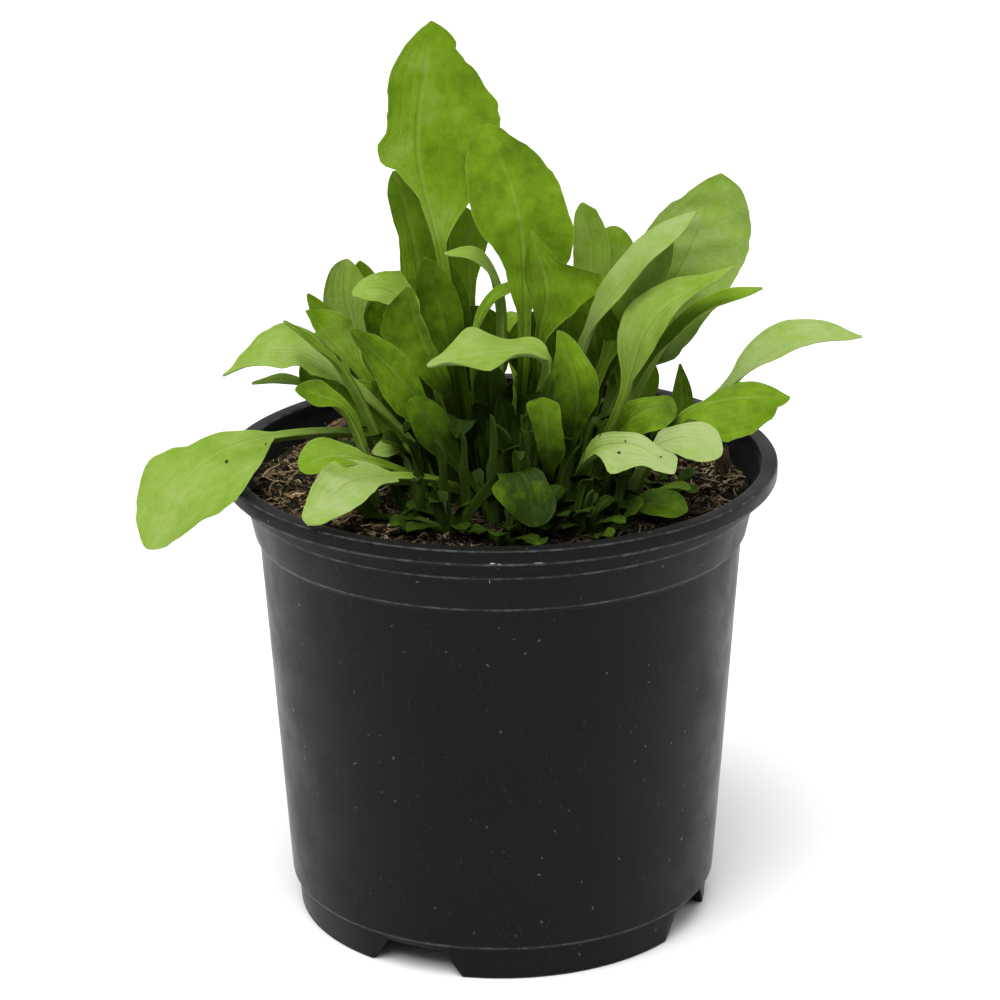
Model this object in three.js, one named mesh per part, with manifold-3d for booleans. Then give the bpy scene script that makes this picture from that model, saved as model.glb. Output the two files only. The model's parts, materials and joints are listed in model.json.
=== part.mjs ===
// A broadleaf plantain in a round nursery pot: the pot, its soil, every larger leaf and the young
// plants round them, in millimetres. +Z is up and the origin is the centre of the pot's base.
import * as THREE from "three";
import { mergeVertices } from "three/addons/utils/BufferGeometryUtils.js";
import Module from "manifold-3d";

const wasm = await Module();
wasm.setup();

// Pot
const POT_HEIGHT = 111.5;
const RIM_RADIUS = 65; // outside of the lip
const LIP_EDGE = 0.4; // bevel round the top of the lip
const LIP_WIDTH = 3.7; // flat top of the lip
const LIP_DEPTH = 3.3; // height of the lip's outer face
const COLLAR_TOP = { r: 59.7, z: 103.2 };
const COLLAR_FOOT = { r: 57.9, z: 94.9 };
const WALL_TOP = { r: 56.8, z: 93.9 };
const WALL_FOOT = { r: 51.1, z: 8.6 };
const FOOT_TOP = { r: 49.7, z: 7.6 };
const FOOT_RADIUS = 49.2;
const FOOT_THICKNESS = 2;
const WALL = 1.4; // moulded wall
const FLOOR = { under: 6.9, top: 8.3 };
const FLOOR_EDGE = 0.8; // where the floor rises into the wall
const POT_SIDES = 44;
const NOTCHES = { first: -25, count: 4, height: 6.5, bottom: 23.6, top: 14.8, depth: 14 };
const DRAINS = { ring: 37, radius: 3.6, centre: 4.5, sides: 10 };

// Soil
const CLEARANCE = 0.35; // between pieces that touch
const SOIL_TOP = 105;
const SOIL_BOTTOM = FLOOR.top + CLEARANCE;
const SOIL_EDGE = -0.9; // the soil sinks by this much at the wall
const SOIL_RINGS = 5;
const SOIL_SIDES = 24;
const CHIP_CLEAR = 4; // from a chip's end to the middle of a stem
const CHIPS = { count: 12, seed: 11, length: 8, width: 2.8, height: 2.2, ring: 53, sunk: 0.3 };
const HOLE_ROUND = 1; // what a hole in the soil is wider than its stem, all round
const HOLE_BELOW = 0.35; // and deeper
const HOLE_TOP = SOIL_TOP + 6; // above every lump of the soil

// Leaves
const ROOT_Z = 99.4; // the petioles' cut ends, down in the soil
const FOOT_Z = 106.6; // where a petiole leaves the soil
const BLADE = 0.72; // thickness of a blade
const BROAD = 13; // a blade this wide has more faces across, and shallow teeth
const TEETH = 0.05; // depth of the teeth, as a share of the half-width
const RIB = 0.35; // how far a midrib stands out under a blade
const STALK = 1.1; // half the width of a petiole
const STALK_RIB = 0.95; // how much deeper a petiole is than a blade

const MATERIALS = {
  pot: new THREE.MeshStandardMaterial({ color: 0x1b1c1d, roughness: 0.55, metalness: 0 }),
  soil: new THREE.MeshStandardMaterial({ color: 0x4a3526, roughness: 1, metalness: 0 }),
  leaf: new THREE.MeshStandardMaterial({ color: 0x6f9a35, roughness: 0.5, metalness: 0 }),
  young: new THREE.MeshStandardMaterial({ color: 0x41701f, roughness: 0.5, metalness: 0 }),
};

// A leaf's row: its foot on the soil [x, y], then its neck, where the blade starts, a point half way
// along the midrib, and its tip. Options: width of the blade, face (the compass angle that its upper
// side would look to if it stood upright, in degrees from +X), roll and twist about the midrib, cup
// (radians that a margin is bent up), skew (how much wider the side on the right of the upper face
// is), wave (of the margins), peak (where it is widest), blunt (small for a round tip) and via (one
// more point of the petiole).
const LEAVES = [
  // The tall leaves at the back of the rosette
  leaf("leaf_tallest", [-6, 6], [-13.5, 8, 159], [-18.5, 12, 182], [-15, 16, 211.4],
    { width: 28, face: -85, skew: 0.4, cup: 0.3, peak: 0.48, blunt: 0.78, phase: 0.2 }),
  leaf("leaf_behind_tallest", [-12, 12], [-17, 19, 138], [-20.5, 21, 160], [-24.5, 22, 174.6],
    { width: 12, face: -90, skew: 0.4, blunt: 0.8 }),
  leaf("leaf_tall_middle", [4, -1], [6, -4, 147], [4.5, -2, 171], [-2.5, 2, 190.6],
    { width: 24, face: -95, cup: 0.3, peak: 0.5, blunt: 0.8, phase: 0.6 }),
  leaf("leaf_back_left", [-3, 13], [-6.5, 15.5, 142], [-7, 18, 156], [-9, 20, 167],
    { width: 9, face: -90 }),
  leaf("leaf_back_middle", [12, 6], [19.5, 8, 136], [21.5, 12, 158], [19.5, 13, 169],
    { width: 10, face: -100, blunt: 0.5 }),
  leaf("leaf_back_right", [15, 13], [22.5, 13, 131], [27, 17, 152], [27, 19.5, 161.7],
    { width: 12, face: -90, blunt: 0.5 }),
  leaf("leaf_broad_right", [21, 10], [31, 11, 130], [45, 14, 157], [52, 15, 175.2],
    { width: 21, face: -105, skew: 0.15, cup: 0.25, peak: 0.58, blunt: 0.68, phase: 0.4 }),
  leaf("leaf_curled", [9, -7], [9, -9, 142], [11, -11, 155], [7.5, -11, 168.5],
    { width: 18, face: -95, skew: 0.4, cup: 0.6, peak: 0.55, blunt: 0.7 }),
  leaf("leaf_thin_arch_left", [-1, 5], [0.5, 3, 150], [-5, 3.5, 159], [-12.5, 4, 159.5],
    { width: 5, face: 0, roll: 20 }),
  leaf("leaf_thin_arch_right", [-4, -3], [-6, -2.5, 140], [-2, -1, 149.6], [5, 0, 153.8],
    { width: 5, face: 180, roll: -20 }),

  // The right side, from the back to the front
  leaf("leaf_edge_on", [14, -1], [19, 0, 138], [31, 2, 157], [45.5, 5, 168.8],
    { width: 10, face: 190, roll: -20, blunt: 0.9 }),
  leaf("leaf_between_right", [17, 5], [24, 5, 131], [33, 7, 149], [40, 8.5, 163],
    { width: 10, face: 220, roll: -20 }),
  leaf("leaf_arched_right", [20, -6], [28, -8, 127], [35.5, -7, 147], [54, -2, 157.7],
    { width: 14.5, face: 190, roll: -35, peak: 0.5, blunt: 0.9 }),
  leaf("leaf_under_right", [24.5, 0.5], [34, 1.5, 132], [46.5, 1, 146.5], [60.9, 2, 151.4],
    { width: 8, face: 185, roll: -8, blunt: 0.9 }),
  leaf("leaf_far_right", [29, -4], [50.5, -3, 127], [66, -2, 139], [84.1, 0, 140.1],
    { width: 12, face: 180, roll: -28, peak: 0.45, blunt: 1 }),
  leaf("leaf_folded_right", [31, -10.5], [43, -16, 127], [54.5, -15, 130], [66.6, -13, 129.6],
    { width: 19, face: 178, roll: -25, cup: -1, blunt: 0.55 }),
  leaf("leaf_spike", [38, -3], [42, -2, 119], [42.5, -1, 127], [42, 0, 133.6],
    { width: 5, face: -90, peak: 0.35, blunt: 1 }),
  leaf("leaf_behind_arch", [26, 13], [29, 16, 114], [33.5, 19.5, 123], [35.2, 22, 129],
    { width: 9, face: -90 }),
  leaf("leaf_square_right", [24, -13], [27, -14, 121], [33.5, -16, 127.5], [40.5, -16, 128],
    { width: 11, face: 180, roll: -40, blunt: 0.35 }),

  // The front
  leaf("leaf_pale_right", [28, -18], [35, -25, 121.5], [43, -28, 124.5], [50, -30, 121.5],
    { width: 13, face: 165, roll: -30, blunt: 0.4 }),
  leaf("leaf_pale_front", [15, -18], [22, -28, 122.5], [31, -34, 124.5], [39, -38, 120],
    { width: 14, face: 150, roll: -20, blunt: 0.5 }),
  leaf("leaf_upright_front", [12, -12], [17, -16, 122], [17.5, -17, 134], [13.4, -15, 146.4],
    { width: 12, face: -90, cup: 0.3, peak: 0.5, blunt: 0.7 }),
  leaf("leaf_short_front", [9, -21], [11, -30, 119], [10.5, -32, 129], [9.5, -31, 135.6],
    { width: 8.5, face: -90, peak: 0.7, blunt: 0.3 }),
  leaf("leaf_wavy_centre", [3, -13], [11, -18, 141], [0, -20, 143], [-16.4, -22, 140.5],
    { via: [9, -15, 127], width: 15, face: 0, roll: -4, wave: 0.14, peak: 0.5, blunt: 0.7 }),
  leaf("leaf_hanging_front", [-8, -30], [0, -35, 118], [5, -41, 120.5], [7.8, -46.5, 110.4],
    { width: 14, face: 115, blunt: 0.5 }),
  leaf("leaf_dark_front", [-3, -24.5], [-10, -24, 118], [-16, -26, 128], [-20, -26, 134],
    { width: 9, face: -60, blunt: 0.5 }),

  // The left side
  leaf("leaf_front_left", [-5, -17.5], [-24, -24, 114.6], [-34, -36, 117], [-42.4, -52, 113.6],
    { via: [-12, -21, 112.5], width: 14, face: 53, roll: 8, blunt: 0.55 }),
  leaf("leaf_round_left", [-12, -14], [-31, -20, 117.5], [-39.5, -22, 119], [-45.5, -24, 116.4],
    { width: 11, face: 12, roll: 25, blunt: 0.5 }),
  leaf("leaf_tiny_left", [-19.5, -12.5], [-21.5, -13.5, 117], [-25, -13.5, 118], [-29.5, -13.5, 117],
    { width: 5, face: 0, roll: 30 }),
  leaf("leaf_far_left", [-14, -8.5], [-52.5, -5, 118.5], [-70, -12, 113.5], [-81.5, -22, 97],
    { via: [-24, -6, 117.5], width: 27.5, face: 15, roll: 16, skew: -0.17, blunt: 0.6 }),
  leaf("leaf_left_dark", [-8, -13], [-14, -17, 124], [-25, -19, 139.4], [-33.5, -18.5, 147.9],
    { width: 14, face: -45, peak: 0.55 }),
  leaf("leaf_left_bright", [-7, -6.5], [-12, -9, 130], [-18, -10, 144], [-21, -10, 155.5],
    { width: 20, face: -80, skew: -0.3, cup: 0.3, peak: 0.5 }),
  leaf("leaf_left_round", [-10, 0], [-19, -2, 146], [-26.5, -4, 153.2], [-33.6, -6, 152.8],
    { width: 10, face: 0, roll: 28, peak: 0.5, blunt: 0.45 }),
  leaf("leaf_left_upright", [-14.5, 6], [-31, 9, 134], [-35.5, 10, 147], [-35.4, 11, 156.4],
    { width: 12, face: -85, cup: 0.4, blunt: 0.5 }),
  leaf("leaf_left_light", [-18, 0.5], [-32.5, 0.5, 132], [-39, 0.5, 140], [-44.5, 1, 147],
    { width: 11, face: -45 }),
  leaf("leaf_left_pointed", [-20, 5], [-31, 5, 133], [-38, 5.5, 142], [-44.4, 5.5, 149.6],
    { width: 8, face: -60 }),
  leaf("leaf_left_thin", [-24, -7.5], [-34.5, -9, 134], [-42, -9.5, 142], [-49.2, -8.5, 147.4],
    { width: 5, face: 0 }),
  leaf("leaf_left_arching", [-14, -3], [-36, -4, 132], [-50.5, -3, 138.5], [-64.2, -2, 132.4],
    { width: 13, face: 2, roll: 28, peak: 0.5, blunt: 1 }),
  leaf("leaf_left_low_thin", [-25, 2.5], [-40, 3, 126], [-50, 4, 129.2], [-58, 4, 128.6],
    { width: 6, face: 0 }),
  leaf("leaf_left_low", [-28, -17], [-35, -14.5, 128], [-41, -14, 131], [-46.7, -14, 132.8],
    { width: 8, face: 0, roll: 25 }),

  // Low on the soil at the front right
  leaf("leaf_low_right", [24, -24], [29, -27.5, 108.6], [35, -29, 109.6], [42.5, -30.5, 108.4],
    { width: 9, face: 170 }),
  leaf("leaf_low_right_small", [33, -19], [37, -23, 111], [40, -24, 112], [43.5, -24, 111.4],
    { width: 5, face: 160 }),

  // The back of the rosette
  leaf("leaf_rear_left", [-18, 11], [-33, 19, 125], [-44, 26, 132], [-54, 33, 127],
    { width: 14, face: -35 }),
  leaf("leaf_rear_left_inner", [-12, 18], [-20, 29, 118], [-28, 40, 131], [-36, 50, 126],
    { width: 15, face: -53 }),
  leaf("leaf_rear_middle", [-5, 19.5], [-7, 31, 112], [-10, 43, 122], [-12.5, 55, 117],
    { width: 15, face: -78 }),
  leaf("leaf_rear_middle_right", [3, 20], [5, 30, 118], [8.5, 43, 132], [10, 55, 128],
    { width: 15, face: -98 }),
  leaf("leaf_rear_right", [10, 19], [17, 28, 118], [24, 38, 132], [30, 48, 130],
    { width: 16, face: -122 }),
  leaf("leaf_rear_right_short", [21, 18], [28, 25, 118], [32, 31, 122], [35, 37, 118],
    { width: 10, face: -122 }),
];

// A young plant's row: its place on the soil, the tips of its small leaves [x, y, z] from there, and
// their width where it isn't the usual one
const YOUNG_PLANTS = [
  ["young_front_left", [-12, -36], [[-12, 3, 3], [-9, -6, 3], [4, -8, 4], [5, -2, 8], [-3, 4, 9]]],
  ["young_front", [1, -44], [[-9, 2, 3], [7, -6, 3], [3, 4, 8], [-2, -7, 5]]],
  ["young_front_middle", [9, -37], [[-6, 4, 9], [6, -6, 7], [5, 5, 10], [1, -7, 4]]],
  ["young_front_right", [19, -36], [[-5, -7, 4], [9, -4, 4], [1, 6, 8], [7, 4, 7]]],
  ["young_right", [38, -15], [[7, -5, 4], [8, 4, 6], [-4, -4, 6]]],
  ["young_centre_back", [-1.5, -8.5], [[-3, -4, 24], [4, -2, 28], [-1, 4, 31]], 8],
  ["young_centre_front", [3, -20], [[-4, -3, 22], [-3, 2, 27], [2, -6, 18]], 8],
  ["young_rear_left", [-24, 25], [[-9, 5, 6], [-2, 9, 5], [6, 7, 9], [-8, -3, 9]]],
  ["young_rear", [0, 36], [[-6, 7, 6], [7, 8, 6], [0, -5, 9]]],
  ["young_rear_right", [37, 27], [[7, 5, 5], [1, 9, 4], [6, -5, 6]]],
];
const YOUNG_WIDTH = 5;
const YOUNG_STALK = 0.8;
const YOUNG_CROWN = { r: 1.7, top: 1.6, sides: 8 };
const YOUNG_ROOT = -2.5; // where its leaves start inside the crown, from the soil's top
const YOUNG_ARCH = 1.2; // how far the middle of a small leaf arches over the line to its tip

function leaf(name, foot, neck, belly, tip, options) {
  const usual = {
    width: 12, face: 0, roll: 0, twist: 0, cup: 0.22, skew: 0, wave: 0.08, phase: 0,
    peak: 0.6, blunt: 0.62, stalk: STALK, via: null, steps: [2, 8],
  };
  return { name, foot, neck, belly, tip, ...usual, ...options };
}

// The half-width of a blade at s, its share of the length from neck to tip, as a share of the widest
function bladeProfile(row, s) {
  const rise = (row.blunt * row.peak) / (1 - row.peak);
  const widest = row.peak ** rise * (1 - row.peak) ** row.blunt;
  return (Math.max(s, 0) ** rise * Math.max(1 - s, 0) ** row.blunt) / widest;
}

// The stations along a leaf: its centre, the directions across and up, and its sizes there
function leafStations(row) {
  const [x, y] = row.foot;
  const points = [[x, y, row.rootZ ?? ROOT_Z], [x, y, row.footZ ?? FOOT_Z]];
  if (row.via) points.push(row.via);
  points.push(row.neck, row.belly, row.tip);
  const path = new THREE.CatmullRomCurve3(points.map((p) => new THREE.Vector3(...p)));
  const spans = points.length - 1;
  const footAt = 1 / spans;
  const neckAt = (spans - 2) / spans;
  const places = [0];
  for (let i = 0; i < row.steps[0]; i++) places.push(footAt + ((neckAt - footAt) * i) / row.steps[0]);
  for (let i = 0; i <= row.steps[1]; i++) places.push(neckAt + ((1 - neckAt) * i) / row.steps[1]);

  const face = THREE.MathUtils.degToRad(row.face);
  const level = new THREE.Vector3(-Math.sin(face), Math.cos(face), 0);
  const centres = places.map((t) => path.getPoint(t));
  const neckIndex = 1 + row.steps[0];
  const lengths = centres.map(() => 0);
  for (let i = neckIndex + 1; i < centres.length; i++) {
    lengths[i] = lengths[i - 1] + centres[i].distanceTo(centres[i - 1]);
  }
  const bladeLength = lengths[lengths.length - 1];
  return places.map((t, i) => {
    const along = path.getTangent(t);
    const across = level.clone().addScaledVector(along, -level.dot(along)).normalize();
    const up = new THREE.Vector3().crossVectors(across, along);
    const s = lengths[i] / bladeLength;
    const turned = THREE.MathUtils.smoothstep(t, footAt, neckAt);
    across.applyAxisAngle(along, -THREE.MathUtils.degToRad(row.roll * turned + row.twist * s));
    up.crossVectors(across, along);
    const stalk = row.stalk * Math.sqrt(1 - 0.9 * s);
    const blade = (row.width / 2) * (i < neckIndex ? 0 : bladeProfile(row, s));
    return { centre: centres[i], across, up, s, stalk, blade, open: Math.min(1, s * 4) };
  });
}

// A point of a leaf's upper side at u, from -1 at one margin to 1 at the other
function leafPoint(row, station, u) {
  const { stalk, blade, open, s } = station;
  const tooth = Math.sin(2 * Math.PI * (3.2 * s + row.phase + 0.3 * Math.sign(u)));
  const depth = row.width >= BROAD ? TEETH * 4 * s * (1 - s) : 0;
  const half = Math.hypot(stalk, blade * (1 + row.skew * Math.sign(u)) * (1 + depth * tooth));
  const bend = THREE.MathUtils.lerp(0.5, row.cup, open);
  const out = Math.abs(bend) < 1e-6 ? u : Math.sin(u * bend) / bend;
  const lift = Math.abs(bend) < 1e-6 ? 0 : (1 - Math.cos(u * bend)) / bend;
  const ripple = Math.sin(2 * Math.PI * (1.7 * s + row.phase + 0.21 * Math.sign(u)));
  const wave = row.wave * blade * u * u * ripple;
  return station.centre
    .clone()
    .addScaledVector(station.across, out * half)
    .addScaledVector(station.up, lift * half + wave);
}

// One leaf as a closed body: an upper and a lower side split into triangles alike, joined at the edges
function leafGeometry(row) {
  const columns = row.width >= BROAD ? [-1, -0.5, 0, 0.5, 1] : [-1, 0, 1];
  const stations = leafStations(row);
  const positions = [];
  for (const station of stations) {
    const keel = THREE.MathUtils.lerp(STALK_RIB, RIB, station.open) * (1 - 0.8 * station.s);
    for (const u of columns) positions.push(leafPoint(row, station, u));
    for (const u of columns) {
      const depth = BLADE + keel * (1 - Math.abs(u));
      positions.push(leafPoint(row, station, u).addScaledVector(station.up, -depth));
    }
  }
  const n = columns.length;
  const upper = (i, j) => i * 2 * n + j;
  const lower = (i, j) => i * 2 * n + n + j;
  const faces = [];
  const quad = (a, b, c, d) => faces.push(a, b, c, a, c, d);
  for (let i = 0; i + 1 < stations.length; i++) {
    for (let j = 0; j + 1 < n; j++) {
      quad(upper(i, j), upper(i, j + 1), upper(i + 1, j + 1), upper(i + 1, j));
      faces.push(lower(i, j), lower(i + 1, j + 1), lower(i, j + 1));
      faces.push(lower(i, j), lower(i + 1, j), lower(i + 1, j + 1));
    }
    quad(lower(i, 0), upper(i, 0), upper(i + 1, 0), lower(i + 1, 0));
    quad(upper(i, n - 1), lower(i, n - 1), lower(i + 1, n - 1), upper(i + 1, n - 1));
  }
  const last = stations.length - 1;
  for (let j = 0; j + 1 < n; j++) {
    quad(lower(0, j), lower(0, j + 1), upper(0, j + 1), upper(0, j));
    quad(upper(last, j), upper(last, j + 1), lower(last, j + 1), lower(last, j));
  }
  return new THREE.BufferGeometry().setFromPoints(positions).setIndex(faces);
}

// A geometry as a solid that can be joined and cut, and back again
function solid(geometry) {
  const bare = geometry.clone();
  bare.deleteAttribute("normal");
  bare.deleteAttribute("uv");
  const merged = mergeVertices(bare, 1e-4);
  return new wasm.Manifold(
    new wasm.Mesh({
      numProp: 3,
      vertProperties: merged.attributes.position.array,
      triVerts: new Uint32Array(merged.index.array),
    }),
  );
}

function geometryOf(body) {
  const made = body.getMesh();
  return new THREE.BufferGeometry()
    .setAttribute("position", new THREE.BufferAttribute(made.vertProperties, 3))
    .setIndex(new THREE.BufferAttribute(made.triVerts, 1));
}

// A profile of [radius, height] points turned about the Z axis
function turned(profile, sides) {
  const points = profile.map(([r, z]) => new THREE.Vector2(r, z));
  return new THREE.LatheGeometry(points, sides).rotateX(Math.PI / 2);
}

function upright(radius, from, to, sides, x, y) {
  return new THREE.CylinderGeometry(radius, radius, to - from, sides)
    .rotateX(Math.PI / 2)
    .translate(x, y, (from + to) / 2);
}

function potGeometry() {
  const inside = RIM_RADIUS - LIP_WIDTH;
  const profile = [
    [0, FLOOR.under],
    [FOOT_RADIUS - FOOT_THICKNESS, FLOOR.under],
    [FOOT_RADIUS - FOOT_THICKNESS, 0],
    [FOOT_RADIUS, 0],
    [FOOT_TOP.r, FOOT_TOP.z],
    [WALL_FOOT.r, WALL_FOOT.z],
    [WALL_TOP.r, WALL_TOP.z],
    [COLLAR_FOOT.r, COLLAR_FOOT.z],
    [COLLAR_TOP.r, COLLAR_TOP.z],
    [RIM_RADIUS, POT_HEIGHT - LIP_DEPTH],
    [RIM_RADIUS, POT_HEIGHT - LIP_EDGE],
    [RIM_RADIUS - LIP_EDGE, POT_HEIGHT],
    [inside, POT_HEIGHT],
    [inside - 0.3, POT_HEIGHT - LIP_DEPTH],
    [COLLAR_TOP.r - WALL, COLLAR_TOP.z - 0.6],
    [COLLAR_FOOT.r - WALL, COLLAR_FOOT.z - 0.3],
    [WALL_TOP.r - WALL, WALL_TOP.z - 0.3],
    [WALL_FOOT.r - WALL, FLOOR.top + 0.6],
    [WALL_FOOT.r - WALL - FLOOR_EDGE, FLOOR.top],
    [0, FLOOR.top],
  ];
  let body = solid(turned(profile, POT_SIDES));
  const step = 360 / NOTCHES.count;
  for (let i = 0; i < NOTCHES.count; i++) {
    const angle = THREE.MathUtils.degToRad(NOTCHES.first + i * step);
    const outline = new THREE.Shape([
      new THREE.Vector2(-NOTCHES.bottom / 2, -0.01),
      new THREE.Vector2(NOTCHES.bottom / 2, -0.01),
      new THREE.Vector2(NOTCHES.top / 2, NOTCHES.height),
      new THREE.Vector2(-NOTCHES.top / 2, NOTCHES.height),
    ]);
    const notch = new THREE.ExtrudeGeometry(outline, { depth: NOTCHES.depth, bevelEnabled: false })
      .rotateX(Math.PI / 2)
      .translate(0, NOTCHES.depth / 2 - FOOT_RADIUS, 0)
      .rotateZ(angle);
    body = body.subtract(solid(notch));
    const x = DRAINS.ring * Math.sin(angle);
    const y = -DRAINS.ring * Math.cos(angle);
    const drain = upright(DRAINS.radius, FLOOR.under - 1, FLOOR.top + 1, DRAINS.sides, x, y);
    body = body.subtract(solid(drain));
  }
  const middle = upright(DRAINS.centre, FLOOR.under - 1, FLOOR.top + 1, DRAINS.sides, 0, 0);
  return geometryOf(body.subtract(solid(middle)));
}

// The lumps of the soil's surface
function soilRelief(x, y) {
  const broad = Math.sin(x / 7.3 + 1) * Math.cos(y / 6.1) + 0.6 * Math.sin((x + y) / 4.3);
  return 0.55 * broad - 0.4 * (Math.hypot(x, y) / 58) ** 2;
}

// A repeatable row of random numbers from 0 to 1
function randomRow(seed) {
  let state = seed;
  return () => {
    state = (state * 1103515245 + 12345) % 2147483648;
    return state / 2147483648;
  };
}

function soilGeometry() {
  const edge = COLLAR_TOP.r - WALL - CLEARANCE;
  const profile = [
    [0, SOIL_BOTTOM],
    [WALL_FOOT.r - WALL - FLOOR_EDGE - CLEARANCE, SOIL_BOTTOM],
    [WALL_FOOT.r - WALL - CLEARANCE, SOIL_BOTTOM + FLOOR_EDGE],
    [WALL_TOP.r - WALL - CLEARANCE, WALL_TOP.z - 0.1],
    [COLLAR_FOOT.r - WALL - CLEARANCE, COLLAR_FOOT.z + 0.2],
    [edge, COLLAR_TOP.z - 0.4],
  ];
  for (let i = SOIL_RINGS; i >= 0; i--) profile.push([(edge * i) / SOIL_RINGS, SOIL_TOP]);
  const bed = turned(profile, SOIL_SIDES);
  const place = bed.attributes.position;
  for (let i = 0; i < place.count; i++) {
    if (place.getZ(i) < SOIL_TOP - 0.01) continue;
    const r = Math.hypot(place.getX(i), place.getY(i));
    const relief = soilRelief(place.getX(i), place.getY(i));
    place.setZ(i, SOIL_TOP + (r > edge - 0.1 ? SOIL_EDGE : relief));
  }
  let body = solid(bed);

  const random = randomRow(CHIPS.seed);
  const feet = [...LEAVES.map((row) => row.foot), ...YOUNG_PLANTS.map(([, foot]) => foot)];
  let placed = 0;
  while (placed < CHIPS.count) {
    const r = CHIPS.ring * Math.sqrt(random());
    const angle = 2 * Math.PI * random();
    const [x, y] = [r * Math.cos(angle), r * Math.sin(angle)];
    const turn = Math.PI * random();
    const tilt = 0.5 * (random() - 0.5);
    const size = 0.6 + 0.6 * random();
    const clear = CHIP_CLEAR + (CHIPS.length * size) / 2;
    if (feet.some(([fx, fy]) => Math.hypot(fx - x, fy - y) < clear)) continue;
    const chip = new THREE.BoxGeometry(CHIPS.length * size, CHIPS.width * size, CHIPS.height)
      .rotateY(tilt)
      .rotateX(0.6 * tilt)
      .rotateZ(turn)
      .translate(x, y, SOIL_TOP + soilRelief(x, y) - CHIPS.sunk);
    body = body.add(solid(chip));
    placed += 1;
  }

  for (const row of LEAVES) {
    const hole = upright(row.stalk + HOLE_ROUND, ROOT_Z - HOLE_BELOW, HOLE_TOP, 6, ...row.foot);
    body = body.subtract(solid(hole));
  }
  for (const [, foot] of YOUNG_PLANTS) {
    const hole = upright(YOUNG_CROWN.r + HOLE_ROUND, ROOT_Z - HOLE_BELOW, HOLE_TOP, 8, ...foot);
    body = body.subtract(solid(hole));
  }
  return geometryOf(body);
}

// A young plant: small leaves grown together on a short crown that stands in the soil
function youngGeometry([x, y], tips, width = YOUNG_WIDTH) {
  const crownTop = SOIL_TOP + YOUNG_CROWN.top;
  let body = solid(upright(YOUNG_CROWN.r, ROOT_Z, crownTop, YOUNG_CROWN.sides, x, y));
  for (const [dx, dy, dz] of tips) {
    const face = THREE.MathUtils.radToDeg(Math.atan2(-dy, -dx));
    const row = leaf("small", [x + dx * 0.06, y + dy * 0.06],
      [x + dx * 0.4, y + dy * 0.4, SOIL_TOP + 0.5 * dz + YOUNG_ARCH],
      [x + dx * 0.75, y + dy * 0.75, SOIL_TOP + 0.8 * dz + YOUNG_ARCH],
      [x + dx, y + dy, SOIL_TOP + dz],
      { width, face, stalk: YOUNG_STALK, steps: [1, 4] });
    row.rootZ = SOIL_TOP + YOUNG_ROOT;
    row.footZ = SOIL_TOP + 1;
    body = body.add(solid(leafGeometry(row)));
  }
  return geometryOf(body);
}

const plant = new THREE.Group();
function addPiece(name, geometry, material) {
  geometry.computeVertexNormals();
  const mesh = new THREE.Mesh(geometry, material);
  mesh.name = name;
  plant.add(mesh);
}

addPiece("pot", potGeometry(), MATERIALS.pot);
addPiece("soil", soilGeometry(), MATERIALS.soil);
for (const row of LEAVES) addPiece(row.name, leafGeometry(row), MATERIALS.leaf);
for (const [name, foot, tips, width] of YOUNG_PLANTS) {
  addPiece(name, youngGeometry(foot, tips, width), MATERIALS.young);
}

export default plant;
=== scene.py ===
import json
import math
import random

import bpy
import numpy as np
from mathutils import Euler, Matrix, Vector, noise

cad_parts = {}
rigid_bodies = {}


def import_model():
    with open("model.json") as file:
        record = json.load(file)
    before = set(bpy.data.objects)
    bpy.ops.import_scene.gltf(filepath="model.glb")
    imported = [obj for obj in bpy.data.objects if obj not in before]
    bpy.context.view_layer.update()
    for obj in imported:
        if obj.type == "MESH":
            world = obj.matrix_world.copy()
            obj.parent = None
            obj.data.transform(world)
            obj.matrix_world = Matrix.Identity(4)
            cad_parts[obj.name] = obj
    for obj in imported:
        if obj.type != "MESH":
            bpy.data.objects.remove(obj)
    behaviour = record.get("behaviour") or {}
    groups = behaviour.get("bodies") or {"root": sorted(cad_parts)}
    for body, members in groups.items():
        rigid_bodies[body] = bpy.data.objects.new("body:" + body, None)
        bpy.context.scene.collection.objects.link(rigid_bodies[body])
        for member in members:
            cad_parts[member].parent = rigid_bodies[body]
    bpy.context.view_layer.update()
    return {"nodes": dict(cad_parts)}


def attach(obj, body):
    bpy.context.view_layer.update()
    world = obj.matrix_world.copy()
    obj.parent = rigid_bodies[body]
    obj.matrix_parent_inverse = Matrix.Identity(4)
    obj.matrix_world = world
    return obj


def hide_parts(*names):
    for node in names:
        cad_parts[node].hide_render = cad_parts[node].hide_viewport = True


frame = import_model()

MM = 0.001
BODY = "root"
FULL_TURN = 2 * math.pi
SHARP = {"pot": 40, "leaf": 65}  # edges that turn more than this many degrees stay sharp

# Pot: the corners of its section as radius, height, rounding, and whether the corner is pale, partly as
# wear and partly as a painted highlight line
FOOT = {"inner": 47.2, "outer": 49.2, "top": 7.6}
POT_CORNERS = [
    (0, 6.9, 0, 0), (FOOT["inner"], 6.9, 0.3, 0), (FOOT["inner"], 0, 0.4, 0),
    (FOOT["outer"], 0, 0.5, 1), (49.7, FOOT["top"], 0.4, 0), (51.1, 8.6, 0.5, 1),
    (56.8, 93.9, 0.4, 0), (57.9, 94.9, 0.4, 1),
    (59.7, 103.2, 0.5, 1), (65, 108.2, 0.5, 1), (65, 111.5, 0.7, 1), (61.3, 111.5, 0.7, 1),
    (61, 108.2, 0.5, 0), (58.3, 102.6, 0.8, 0), (56.5, 94.6, 0.5, 0), (55.4, 93.6, 0.5, 0),
    (49.7, 8.9, 0.5, 0), (48.9, 8.3, 0.3, 0), (0, 8.3, 0, 0),
]
POT_SEGMENTS = 240
CORNER_STEPS = 4
NOTCHES = {"first": -25, "count": 4, "height": 6.5, "bottom": 23.6, "top": 14.8}
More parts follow.
